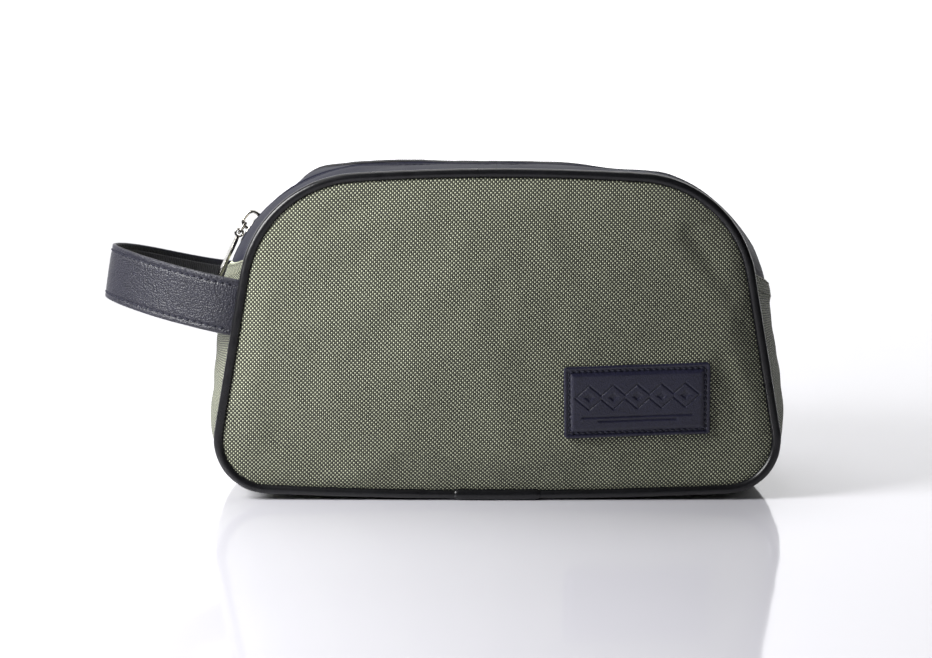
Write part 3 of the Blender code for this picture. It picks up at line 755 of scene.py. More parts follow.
@dataclass
class PouchForm:
    """The shape that all the sewn pieces follow, from the frame's boxes and joints."""

    piping: float = 2.2 * MM
    clearance: float = 0.3 * MM
    crown: float = 12 * MM
    top_radius: float = 998 * MM
    shoulder_radius: float = 51.5 * MM
    foot_radius: float = 22 * MM
    base_radius: float = 2.2
    side_lean: float = math.radians(10.3)

    def __post_init__(self) -> None:
        """Reads the outlines' sizes from the frame."""
        cord = box("front_piping")
        flats = self.piping * math.cos(math.pi / 8)
        half_width = cord[1, 0] - flats
        self.half_depth = -cord[:, 1].mean()
        self.seam = Outline(
            half_width,
            cord[0, 2] + flats,
            cord[1, 2] - flats,
            self.top_radius,
            self.shoulder_radius,
            self.foot_radius,
            self.base_radius,
            self.side_lean,
        )
        pivot = joint("slider_travel")["pos_m"]
        top = box("band_front_mid")[1, 2]
        gusset = box("gusset")[1, 0]
        self.ridge = Outline(
            gusset + 1.0 * MM, -6 * MM, top, 1.0, 70 * MM, 39.5 * MM, 100.0, math.radians(9)
        )
        self.edge = self.half_depth - self.piping - self.clearance
        off = abs(self.ridge.shoulder_centre[0] + pivot[0]) / MM
        LOG.info("shoulder centre is %.2f mm off the slider's joint", off)

    def cover(self, place: np.ndarray, y: np.ndarray, depth: np.ndarray = 0.0) -> np.ndarray:
        """Points of the strip and the band: seam + (1 - (y / edge)²) · (ridge - seam).

        Args:
            place: Places along the outlines.
            y: Distances from the middle plane.
            depth: How far under the outer surface.

        Returns:
            Points with the shape of the arguments, broadcast, and a last axis of 3.
        """
        place, y, depth = np.broadcast_arrays(place, y, depth)
        share = np.clip(1 - (y / self.edge) ** 2, 0, None)[..., None]
        seam = self.seam.at(place, depth)
        ridge = self.ridge.at(place, depth)
        flat = seam + share * (ridge - seam)
        return self.settle(np.stack([flat[..., 0], y, np.maximum(flat[..., 1], depth)], axis=-1))

    def settle(self, points: np.ndarray) -> np.ndarray:
        """The soft top's uneven rest: the back stands up a little at the left and sags right.

        The rise is a bell round X = -90 mm that grows from the middle to the back. The sag
        is a plateau and a bell round X = 62 mm that grows from the front seam to the back.
        Both fade out towards half the height. The sides also give a little near the base,
        and the band between the seams falls in a little at the right shoulder.
        """
        x, y, z = (points[..., k] / MM for k in range(3))
        high = np.clip((z - 60) / 78, 0, 1) ** 2
        back = np.clip(y / 45, 0, 1)
        behind = np.clip((y + 50) / 100, 0, 1)
        rise = 4.7 * np.exp(-(((x + 90) / 13) ** 2)) * back * back * (3 - 2 * back)
        plateau = 1.9 / (1 + np.exp(-(x + 32) / 7)) / (1 + np.exp((x - 54) / 7))
        sag = (plateau + 4.2 * np.exp(-(((x - 62) / 16) ** 2))) * behind * behind * (3 - 2 * behind)
        inside = np.clip(1 - (y / 47) ** 2, 0, 1)
        waist = inside * np.clip((np.abs(x) - 118) / 8, 0, 1)
        left = 2.4 * np.exp(-(((z - 36) / 20) ** 2)) * (x < 0)
        right = 1.2 * np.exp(-(((z - 52) / 24) ** 2)) * (x > 0)
        right = right + 1.6 * np.exp(-(((z - 104) / 12) ** 2)) * (x > 0)
        made = np.array(points, float)
        slack = 0.9 * inside * np.clip((x - 80) / 20, 0, 1) * np.exp(-(((z - 122) / 17) ** 2))
        made[..., 2] += MM * (high * (rise - sag) - slack)
        made[..., 0] -= MM * (np.sign(x) * waist * (left + right) + slack)
        return made

    def cover_normal(self, place: np.ndarray, y: np.ndarray) -> np.ndarray:
        """Outward normals of the cover, from small steps along it and across it."""
        step = 0.004
        ahead = self.cover(place + step, y) - self.cover(place - step, y)
        across = self.cover(place, y + 0.1 * MM) - self.cover(place, y - 0.1 * MM)
        return unit(np.cross(ahead, across) * -1)


def waves(x: np.ndarray, y: np.ndarray, seed: int, size: float, count: int = 9) -> np.ndarray:
    """Soft folds between -1 and 1: a mean of sine waves in seeded directions.

    Args:
        x: First coordinate.
        y: Second coordinate.
        seed: Chooses the directions and the phases.
        size: The waves' typical length.
        count: How many waves are added.

    Returns:
        Heights with the shape of x.
    """
    draw = np.random.default_rng(seed)
    angle = draw.uniform(0, math.pi, count)
    long = size * draw.uniform(0.6, 1.6, count)
    phase = draw.uniform(0, 2 * math.pi, count)
    total = np.zeros(np.broadcast(x, y).shape)
    for a, w, p in zip(angle, long, phase):
        total += np.sin(2 * math.pi * (x * math.cos(a) + y * math.sin(a)) / w + p)
    return total / math.sqrt(count * 2)


# ---------------------------------------------------------------- panels


@dataclass
class Panel:
    """A padded panel: cloth over foam, crowned, with its lining behind."""

    form: PouchForm
    side: Side
    columns: int = 127
    rows: int = 73
    tuck: float = 1.4 * MM
    thick: float = 0.9 * MM
    pressure: float = 4.0
    stretch: float = 0.002
    simulated_share: float = 0.5
    frames: int = 24
    cap: float = 15 * MM

    def flat_grid(self, inset: float, columns: int, rows: int) -> tuple:
        """A flat grid inside the seam by transfinite interpolation of its four sides.

        The corners sit half way round the feet and the shoulders. A point is the blend of
        the bottom and top curves plus the blend of the side curves, less the blend of the
        four corners.

        Args:
            inset: Distance inside the seam line.
            columns: Points across.
            rows: Points up.

        Returns:
            (x and z of each point, a from -1 to 1 across, b from -1 to 1 up).
        """
        seam = self.form.seam
        mid_foot = (seam.length(1.0) + seam.length(2.0)) / 2
        mid_shoulder = (seam.length(3.0) + seam.length(4.0)) / 2
        whole = seam.lengths[-1]

        def curve(first: float, last: float, count: int) -> np.ndarray:
            """Even points between two distances along the seam."""
            return seam.at(seam.place_at(np.linspace(first, last, count)), inset)

        bottom = curve(-mid_foot, mid_foot, columns)
        top = curve(whole - mid_shoulder, mid_shoulder, columns)
        right = curve(mid_foot, mid_shoulder, rows)
        left = curve(whole - mid_foot, whole - mid_shoulder, rows)
        s = np.linspace(0, 1, columns)[None, :, None]
        t = np.linspace(0, 1, rows)[:, None, None]
        sides = (1 - s) * left[:, None] + s * right[:, None]
        ends = (1 - t) * bottom[None] + t * top[None]
        low = (1 - s) * bottom[0] + s * bottom[-1]
        high = (1 - s) * top[0] + s * top[-1]
        flat = sides + ends - ((1 - t) * low + t * high)
        return flat, 2 * s[..., 0] - 1, 2 * t[..., 0] - 1

    def rise(self, a: np.ndarray, b: np.ndarray) -> np.ndarray:
        """The crown's share of its full height: ((1 - a²)(1 - b²))^0.75."""
        return ((1 - a**2) * (1 - b**2)) ** 0.75

    def standing(self, flat: np.ndarray, rise: np.ndarray, deep: float) -> np.ndarray:
        """Points of a layer this deep under the crowned face."""
        y = self.form.half_depth + 0.45 * MM + self.form.crown * rise - deep
        return np.stack([flat[..., 0], self.side.value * y, flat[..., 1]], axis=-1)

    def simulate(self, piece: bpy.types.Object, pinned: list, start: np.ndarray) -> np.ndarray:
        """Puffs the sheet out with cloth pressure while its edge is held.

        Args:
            piece: The open sheet.
            pinned: Numbers of the held points.
            start: The points before the simulation.

        Returns:
            The settled points, none moved further than the cap.
        """
        held = piece.vertex_groups.new(name="sewn")
        held.add(pinned, 1.0, "REPLACE")
        cloth = piece.modifiers.new("cloth", "CLOTH")
        cloth.settings.quality = 7
        cloth.settings.mass = 0.25
        cloth.settings.tension_stiffness = 25
        cloth.settings.compression_stiffness = 25
        cloth.settings.shear_stiffness = 12
        cloth.settings.bending_stiffness = 12
        cloth.settings.air_damping = 6
        cloth.settings.vertex_group_mass = held.name
        cloth.settings.use_pressure = True
        cloth.settings.uniform_pressure_force = self.pressure
        cloth.settings.shrink_min = -self.stretch
        cloth.settings.effector_weights.gravity = 0
        cloth.point_cache.frame_start = 1
        cloth.point_cache.frame_end = self.frames
        for step in range(1, self.frames + 1):
            bpy.context.scene.frame_set(step)
        graph = bpy.context.evaluated_depsgraph_get()
        settled = piece.evaluated_get(graph).to_mesh()
        found = np.empty(len(settled.vertices) * 3, np.float32)
        settled.vertices.foreach_get("co", found)
        piece.evaluated_get(graph).to_mesh_clear()
        piece.modifiers.remove(cloth)
        piece.vertex_groups.clear()
        bpy.context.scene.frame_set(1)
        moved = found.reshape(start.shape).astype(float) - start
        far = np.linalg.norm(moved, axis=-1, keepdims=True)
        return start + moved * np.minimum(1, self.cap / np.maximum(far, 1e-9))

    def creases(self, flat: np.ndarray) -> np.ndarray:
        """Soft dents where the padding gives: valleys along short lines, and slow waves.

        A valley is deep · exp(-(d / wide)²) by the distance d from its line.
        """
        valleys = [
            ((82, 118), (101, 92), 4.0, 1.0),
            ((98, 62), (108, 38), 5.0, 1.1),
            ((-96, 30), (-70, 12), 6.0, 0.7),
            ((-20, 128), (30, 124), 7.0, 0.5),
            ((58, 16), (92, 12), 5.0, 0.6),
        ]
        x, z = flat[..., 0], flat[..., 1]
        dent = 0.45 * MM * waves(x, z, 11 + self.side.value, 70 * MM)
        for start, end, wide, deep in valleys:
            a, b = np.array(start) * MM, np.array(end) * MM
            line = b - a
            share = np.clip(((flat - a) @ line) / (line @ line), 0, 1)
            away = np.linalg.norm(flat - a - share[..., None] * line, axis=-1)
            dent -= deep * MM * np.exp(-((away / (wide * MM)) ** 2))
        return dent

    def build(self) -> bpy.types.Object:
        """The cloth over its foam, as one closed padded piece, and the lining.

        The face is part crown by formula and part the same sheet under cloth pressure:
        start + simulated_share · (simulated - start). Listed creases are then added.
        """
        word = self.side.word
        flat, a, b = self.flat_grid(self.tuck, self.columns, self.rows)
        rise = self.rise(a, b)
        fade = np.clip(6 * (1 - np.abs(a)), 0, 1) * np.clip(5 * (1 - np.abs(b)), 0, 1)
        start = self.standing(flat, rise, 0)
        settled = start.copy()
        sheet = surface(word + "_start", start, flip=self.side is Side.FRONT)
        number = np.arange(self.rows * self.columns).reshape(self.rows, self.columns)
        rim = [number[0], number[-1], number[:, 0], number[:, -1]]
        settled = self.simulate(sheet, np.concatenate(rim).tolist(), start.reshape(-1, 3))
        settled = start + self.simulated_share * (settled.reshape(start.shape) - start)
        bpy.data.objects.remove(sheet)
        settled[..., 1] += self.side.value * fade * self.creases(flat)
        settled = self.form.settle(settled)
        back = settled.copy()
        depth = self.thick + 2.6 * MM * np.clip(3 * rise, 0, 1)
        back[..., 1] -= self.side.value * depth
        piece = self.close(word + "_panel", settled, back, flat)
        piece.modifiers.new("smooth", "SUBSURF")
        piece.modifiers["smooth"].levels = 1
        piece.modifiers["smooth"].render_levels = 1
        dress(piece, OLIVE, "pouch", (word + "_panel", word + "_foam"))
        self.face = settled
        self.build_lining(word)
        crown = (float(np.abs(settled[..., 1]).max()) - self.form.half_depth) / MM
        LOG.info("%s panel: crown %.1f mm", word, crown)
        return piece

    def close(self, name: str, face: np.ndarray, back: np.ndarray, flat: np.ndarray) -> bpy.types.Object:
        """One closed piece from two matching sheets, joined round their rim."""
        rows, columns = face.shape[:2]
        count = rows * columns
        number = np.arange(count).reshape(rows, columns)
        corners = [number[:-1, :-1], number[:-1, 1:], number[1:, 1:], number[1:, :-1]]
        quads = np.stack(corners, axis=-1).reshape(-1, 4)
        rim = np.concatenate([number[0, :-1], number[:-1, -1], number[-1, :0:-1], number[:0:-1, 0]])
        after = np.roll(rim, -1)
        wall = np.stack([after, rim, rim + count, after + count], axis=1)
        faces = np.concatenate([quads, quads[:, ::-1] + count, wall])
        points = np.concatenate([face.reshape(-1, 3), back.reshape(-1, 3)])
        if volume(points, faces) < 0:
            faces = faces[:, ::-1]
        place = np.concatenate([flat.reshape(-1, 2)] * 2)
        return put_mesh(name, points, faces.tolist(), place[faces.ravel()])

    def build_lining(self, word: str) -> None:
        """A plain sheet behind the foam with slack folds, at a third of the cloth's fineness."""
        flat, a, b = self.flat_grid(self.tuck, self.columns, self.rows)
        flat, a, b, sheet = flat[::3, ::3], a[::3, ::3], b[::3, ::3], self.face[::3, ::3].copy()
        fade = np.clip(5 * (1 - np.abs(a)), 0, 1) * np.clip(4 * (1 - np.abs(b)), 0, 1)
        slack = 0.5 * MM * (1 + waves(flat[..., 0], flat[..., 1], 31, 40 * MM))
        sheet[..., 1] -= self.side.value * (4.9 * MM + fade * slack)
        under = sheet.copy()
        under[..., 1] -= self.side.value * 0.5 * MM
        piece = self.close(word + "_lining", sheet, under, flat)
        dress(piece, LINING, "pouch", (word + "_lining",))

    def fit(self, x: np.ndarray, z: np.ndarray, reach: float) -> np.ndarray:
        """Heights of a smooth surface laid on the panel round these points.

        Fits y as a polynomial of the fourth order in x and z by least squares.

        Args:
            x: Coordinates across.
            z: Coordinates up.
            reach: How far outside the points the panel is read.

        Returns:
            The panel's y at each point.
        """
        points = self.face.reshape(-1, 3)
        low = np.array([x.min(), z.min()]) - reach
        high = np.array([x.max(), z.max()]) + reach
        near = np.all((points[:, [0, 2]] > low) & (points[:, [0, 2]] < high), axis=1)
        centre = (low + high) / 2
        scale = (high - low) / 2

        def terms(u: np.ndarray, v: np.ndarray) -> np.ndarray:
            """The polynomial's terms at each point."""
            u, v = (u - centre[0]) / scale[0], (v - centre[1]) / scale[1]
            return np.stack([u**i * v**j for i in range(5) for j in range(5 - i)], axis=-1)

        found = points[near]
        weights = np.linalg.lstsq(terms(found[:, 0], found[:, 2]), found[:, 1], rcond=None)[0]
        return terms(x, z) @ weights


@dataclass
class Piping:
    """The leatherette cord sewn round a panel, its joint cover and the inner binding."""

    form: PouchForm
    side: Side
    steps: int = 700
    cover_half: float = 19 * MM

    def line(self, places: np.ndarray) -> tuple:
        """Centres and the two directions across the seam at these places."""
        flat = self.form.seam.at(places)
        normal = self.form.seam.normal(places)
        y = np.full(len(flat), self.side.value * self.form.half_depth)
        centres = self.form.settle(np.stack([flat[:, 0], y, flat[:, 1]], axis=1))
        outward = np.stack([normal[:, 0], np.zeros(len(flat)), normal[:, 1]], axis=1)
        deep = np.broadcast_to(np.array([0.0, self.side.value, 0.0]), centres.shape)
        return centres, outward, deep

    def build(self) -> None:
        """The cord with small puckers, the joint's sleeve and the binding inside."""
        word = self.side.word
        whole = self.form.seam.lengths[-1]
        distance = np.linspace(0, whole, self.steps, endpoint=False)
        centres, outward, deep = self.line(self.form.seam.place_at(distance))
        draw = np.random.default_rng(5 + self.side.value)
        rough = np.convolve(np.tile(draw.normal(0, 1, self.steps), 3), np.hanning(9), "same")
        rough = rough[self.steps : 2 * self.steps] * 0.022 * MM
        radius = self.form.piping - 0.03 * MM + rough
        grid = tube(centres, outward, deep, radius, 18)
        piece = surface(word + "_piping", grid, ring=True, loop=True)
        dress(piece, CHARCOAL, "pouch", (word + "_piping",))
        self.build_cover(word)
        node = frame["nodes"][word + "_seam_binding"]
        node.data.materials.clear()
        node.data.materials.append(WARDROBE.of(COIL))

    def build_cover(self, word: str) -> None:
        """A sleeve over the cord's joint at the middle of the base, thin at both ends."""
        share = np.linspace(-1, 1, 60)
        whole = self.form.seam.lengths[-1]
        places = self.form.seam.place_at((share * self.cover_half) % whole)
        centres, outward, deep = self.line(places)
        swell = 0.55 * MM * (1 - np.abs(share) ** 16) + 0.02 * MM * np.sin(60 * share)
        grid = tube(centres, outward, deep, self.form.piping - 0.05 * MM + swell, 22)
        grid[..., 2] = np.maximum(grid[..., 2], 0.05 * MM)
        piece = surface(word + "_piping_joint", grid, ring=True, capped=True)
        dress(piece, CHARCOAL, "pouch", (word + "_piping_joint",))


# ---------------------------------------------------------------- strip, lining and board


@dataclass
class Strip:
    """The cloth strip round the base and the sides, with a folded hem at each end."""

    form: PouchForm
    hem: float = 9 * MM
    dip: float = 4.5 * MM
    bulge_allowance: float = 1.04
    thick: float = 1.0 * MM
    pitch: float = 3.0 * MM

    def __post_init__(self) -> None:
        """Finds both ends where the band's corners start in the frame."""
        ridge = self.form.ridge
        self.ends = {}
        for end in End:
            low = box("band_front_" + end.word)[0, 2] + 0.4 * MM
            angle = math.asin((low - ridge.shoulder_centre[1]) / ridge.shoulder)
            self.ends[end] = float(ridge.length(ridge.shoulder_place(angle)))

    def inside(self, distance: np.ndarray) -> np.ndarray:
        """How far each distance along the strip is from the nearer end."""
        return np.minimum(self.ends[End.RIGHT] - distance, distance + self.ends[End.LEFT])

    def build(self) -> None:
        """The strip, its hem stitches, its lining and the board's finish."""
        self.build_cloth()
        self.build_hem_stitches()
        self.build_lining()
        board = frame["nodes"]["base_board"]
        board.data.materials.clear()
        board.data.materials.append(WARDROBE.of(BOARD))

    def folds(self, distance: np.ndarray, y: np.ndarray) -> np.ndarray:
        """How far soft folds push the strip in, in metres; 0 at the seams and on the base."""
        across = np.clip(1 - (y / self.form.edge) ** 2, 0, 1)
        away = np.abs(distance)
        side = np.clip((away - 105 * MM) / (25 * MM), 0, 1)
        slow = waves(distance, y, 3, 55 * MM) * 0.7 * MM
        pulled = waves(distance * 1.5, y * 0.5, 8, 24 * MM) * 0.35 * MM
        return side * across**0.7 * (slow + pulled)

    def hem_rise(self, distance: np.ndarray) -> np.ndarray:
        """The doubled cloth of the hem stands this much higher near the strip's ends."""
        return 0.9 * MM / (1 + np.exp((self.inside(distance) - self.hem) / (0.5 * MM)))

    def dipped(self, distance: np.ndarray, y: np.ndarray) -> np.ndarray:
        """Distances drawn back near the ends, most at the seams: (y / edge)² of the dip."""
        near = np.clip(1 - self.inside(distance) / (45 * MM), 0, 1)
        return distance - np.sign(distance) * self.dip * near * np.clip(y / self.form.edge, -1, 1) ** 2

    def build_cloth(self) -> None:
        """A closed sheet between two surfaces, tucked under the piping at both edges."""
        ridge = self.form.ridge
        distance = np.linspace(-self.ends[End.LEFT], self.ends[End.RIGHT], 330)[:, None]
        y = np.linspace(-1, 1, 66)
        y = (self.form.edge + 0.9 * MM) * np.sign(y) * (1 - (1 - np.abs(y)) ** 1.15)
        y = y[None, :]
        place = ridge.place_at(self.dipped(distance, y))
        tuck = 1.3 * MM * np.clip((np.abs(y) - self.form.edge + 1.6 * MM) / (2.5 * MM), 0, 1) ** 2
        raised = self.hem_rise(distance) - self.folds(distance, y)
        close = np.clip(self.inside(distance) / (0.7 * MM), 0, 1)
        round_end = 0.5 * self.thick * (1 - np.sqrt(1 - (1 - close) ** 2))
        top = self.form.cover(place, y, np.maximum(tuck - raised + round_end, -2 * MM))
        low = self.form.cover(place, y, tuck - np.minimum(raised, 0) + self.thick - round_end)
        top[..., 2] = np.maximum(top[..., 2], 0)
        grid = np.concatenate([top, low[:, ::-1]], axis=1)
        arc = np.broadcast_to(distance, (330, 66))
        flat = np.stack([np.broadcast_to(y, (330, 66)), arc], axis=-1)
        flat = np.concatenate([flat, flat[:, ::-1], flat[:, :1]], axis=1)
        piece = surface("gusset", grid, uv=flat, ring=True, capped=True)
        dress(piece, OLIVE, "pouch", ("gusset",))

    def build_hem_stitches(self) -> None:
        """Two rows of stitches across each hem."""
        count = int(2 * (self.form.edge - 3 * MM) / self.pitch)
        y = np.linspace(-1, 1, count) * (self.form.edge - 3 * MM)
        y = y[np.abs(y) > 4.5 * MM]
        for end in End:
            for word, inside in (("outer", 1.6 * MM), ("inner", 7.6 * MM)):
                distance = (self.ends[end] - inside) * end.value
                place = self.form.ridge.place_at(self.dipped(np.full(len(y), distance), y))
                rise = self.hem_rise(np.array([distance])) - self.folds(np.full(len(y), distance), y)
                points = self.form.cover(place, y, -rise)
                normal = self.form.cover_normal(place, y)
                across = self.form.cover(place, y + 0.2 * MM) - self.form.cover(place, y - 0.2 * MM)
                piece = stitches(f"hem_{end.word}_{word}", points, across, normal, 2.4 * MM, 0.24 * MM)
                dress(piece, OLIVE_THREAD, "pouch")

    def build_lining(self) -> None:
        """A plain sheet under the strip and over the board."""
        ridge = self.form.ridge
        ends = (3 * MM - self.ends[End.LEFT], self.ends[End.RIGHT] - 3 * MM)
        distance = np.linspace(*ends, 200)[:, None]
        place = ridge.place_at(distance)
        y = np.linspace(-self.form.edge, self.form.edge, 30)[None, :]
        folded = np.minimum(place, 12 - place)
        depth = 3.2 * MM - np.clip(folded - 1, 0, 1) * 1.9 * MM
        slack = 0.25 * MM * (1 + waves(distance, y, 41, 30 * MM))
        top = self.form.cover(place, y, depth + slack)
        low = self.form.cover(place, y, depth + slack + 0.5 * MM)
        grid = np.concatenate([top, low[:, ::-1]], axis=1)
        flat = np.stack(np.broadcast_arrays(y, distance), axis=-1)
        flat = np.concatenate([flat, flat[:, ::-1], flat[:, :1]], axis=1)
        piece = surface("gusset_lining", grid, uv=flat, ring=True, capped=True)
        dress(piece, LINING, "pouch", ("gusset_lining",))


# ---------------------------------------------------------------- band and zip


@dataclass
class ZipBand:
    """One quarter of the closing: a half of the band with its tape and its coil."""

    form: PouchForm
    strip: Strip
    side: Side
    end: End
    opening: float = 5.3 * MM
    thick: float = 1.2 * MM
    pitch: float = 1.5 * MM
    stitch: float = 3.3 * MM
    blend_from: float = 84 * MM
    blend_to: float = 57 * MM

    def span(self, start: float) -> tuple:
        """Places and distances from a start near the hem to the middle of the top.

        Args:
            start: Distance along the ridge of the outer end.

        Returns:
            (distances, places), from the hem to the middle.
        """
        ridge = self.form.ridge
        middle = ridge.lengths[-1] / 2
        distance = np.linspace(start, middle, 190)
        if self.end is End.LEFT:
            distance = 2 * middle - distance
        return distance, ridge.place_at(distance)

    def hand_over(self, piece: bpy.types.Object) -> None:
        """Bakes the piece's placement into its mesh."""
        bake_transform(piece)

    def names(self, kind: str) -> tuple:
        """The frame nodes that a piece stands for: two for a left piece, which also takes the middle, one
        for a right.
        """
        word = f"{kind}_{self.side.word}_"
        return (word + self.end.word, word + "mid") if self.end is End.LEFT else (word + self.end.word,)

    def build(self) -> None:
        """The band, its stitches, the tape and the coil."""
        word = f"{self.side.word}_{self.end.word}"
        start = self.strip.ends[self.end] - 9 * MM
        distance, place = self.span(start)
        self.build_band(word, distance, place)
        self.build_stitches(word)
        self.build_tape(word, distance, place)
        self.build_coil(word)

    def section(self) -> np.ndarray:
        """The band's closed section as (y, depth): tucked at the seam, turned in at the zip."""
        seam = self.form.edge
        turn = np.linspace(math.pi / 2, -math.pi / 2, 7)
        radius = 0.85 * MM
        nose = np.stack(
            [self.opening + radius - radius * np.cos(turn), radius - radius * np.sin(turn)], axis=1
        )
        outer = MM * np.array([[1.0, 1.5], [0.2, 0.4], [-1.2, -0.4]]) + np.array([seam, 0])
        inner = np.linspace(seam - 3 * MM, self.opening + 8.5 * MM, 12)
        face = np.stack([inner, -0.9 * MM * np.exp(-(((inner - seam + 4 * MM) / (4 * MM)) ** 2))], axis=1)
        groove = np.array([[self.opening + 4.4 * MM, 0.0], [self.opening + 3.3 * MM, 0.16 * MM]])
        roll = np.array([[self.opening + 2.3 * MM, -0.35 * MM], [self.opening + 1.2 * MM, -0.4 * MM]])
        under = np.linspace(self.opening + 4 * MM, seam - 1.2 * MM, 12)
        back = np.stack([under, np.full(12, self.thick)], axis=1)
        tail = np.array([[seam + 0.8 * MM, 2.4 * MM]])
        return np.concatenate([outer, face, groove, roll, nose, back, tail])

    def build_band(self, word: str, distance: np.ndarray, place: np.ndarray) -> None:
        """The leatherette half, with puckers at its stitches and slack folds at the shoulder."""
        section = self.section()
        y = section[None, :, 0] * np.ones((len(place), 1))
        deep = section[None, :, 1] * np.ones((len(place), 1))
        across = np.clip(1 - (y / self.form.edge) ** 2, 0, 1)
        hem = np.clip((np.abs(distance - distance[0]) - 9 * MM) / (6 * MM), 0, 1)[:, None]
        sag = waves(distance[:, None], y, 17 + 3 * self.side.value, 34 * MM) * 0.3 * MM
        near = np.exp(-(((y - self.opening - 3.3 * MM) / (1.5 * MM)) ** 2))
        pucker = 0.05 * MM * np.cos(2 * math.pi * distance / self.stitch)[:, None] * near
        sunk = 1 - np.clip((np.abs(distance - distance[0]) - 4 * MM) / (7 * MM), 0, 1)
        under = 0.75 * MM * sunk[:, None]
        middle = np.clip(np.abs(distance - self.form.ridge.lengths[-1] / 2) / (8 * MM), 0, 1)[:, None]
        deep = deep + hem * middle * (across * sag + pucker) + under
        deep = deep + np.where(hem < 1, 0.3 * MM * (1 - hem), 0)
        grid = self.form.cover(place[:, None], self.side.value * y, deep)
        piece = surface("band_" + word, grid, ring=True, capped=True)
        dress(piece, BAND_NAVY, "", self.names("band"))
        self.hand_over(piece)

    def build_stitches(self, word: str) -> None:
        """One row of thread beside the turned edge."""
        middle = self.form.ridge.lengths[-1] / 2
        first = self.strip.ends[self.end] + 2 * MM
        count = int((middle - first) / self.stitch)
        distance = first + (np.arange(count) + 0.5) * self.stitch
        if self.end is End.LEFT:
            distance = 2 * middle - distance
        place = self.form.ridge.place_at(distance)
        y = np.full(count, self.side.value * (self.opening + 3.3 * MM))
        points = self.form.cover(place, y, 0.12 * MM)
        ahead = self.form.cover(place + 0.004, y) - self.form.cover(place - 0.004, y)
        normal = self.form.cover_normal(place, y)
        piece = stitches("band_thread_" + word, points, ahead, normal, 2.5 * MM, 0.24 * MM)
        dress(piece, NAVY_THREAD, "")
        self.hand_over(piece)

    def build_tape(self, word: str, distance: np.ndarray, place: np.ndarray) -> None:
        """The woven tape between the band's edge and the coil."""
        y = np.array([1.6, 3.0, 5.0, 7.5, 10.0, 12.0, 12.0, 10.0, 7.5, 5.0, 3.0, 1.6]) * MM
        deep = np.where(np.arange(12) < 6, 1.9 * MM, 2.4 * MM)
        grid = self.form.cover(place[:, None], self.side.value * y[None], deep[None])
        flat = np.stack(np.broadcast_arrays(distance[:, None], np.append(y, y[0])[None]), axis=-1)
        piece = surface("zip_tape_" + word, grid, uv=flat, ring=True, capped=True)
        dress(piece, TAPE, "", self.names("zip_tape"))
        self.hand_over(piece)

    def build_coil(self, word: str) -> None:
        """A flattened helix of nylon: y and depth go round an ellipse once for each tooth."""
        ridge = self.form.ridge
        middle = ridge.lengths[-1] / 2
        start = float(ridge.length(ridge.shoulder_place(math.radians(26.1))))
        turns = int((middle - start) / self.pitch)
        per_turn = 12
        share = np.arange(turns * per_turn + 1) / per_turn
        distance = middle - share * self.pitch
        if self.end is End.LEFT:
            distance = 2 * middle - distance
        half = 0.0 if self.side is Side.FRONT else math.pi
        angle = 2 * math.pi * share + half
        y = self.side.value * (1.45 * MM + 1.5 * MM * np.cos(angle))
        deep = 1.55 * MM + 0.72 * MM * np.sin(angle)
        place = ridge.place_at(distance)
        centres = self.form.cover(place, y, deep)
        ahead = unit(np.gradient(centres, axis=0))
        outward = np.stack([ridge.normal(place)[:, 0], np.zeros(len(y)), ridge.normal(place)[:, 1]], axis=1)
        first = unit(np.cross(ahead, outward))
        second = np.cross(first, ahead)
        grid = tube(centres, first, second, 0.36 * MM, 6)
        piece = surface("zip_coil_" + word, grid, ring=True, capped=True)
        dress(piece, COIL, "", self.names("zip_coil"))
        self.hand_over(piece)


# ---------------------------------------------------------------- slider and pull


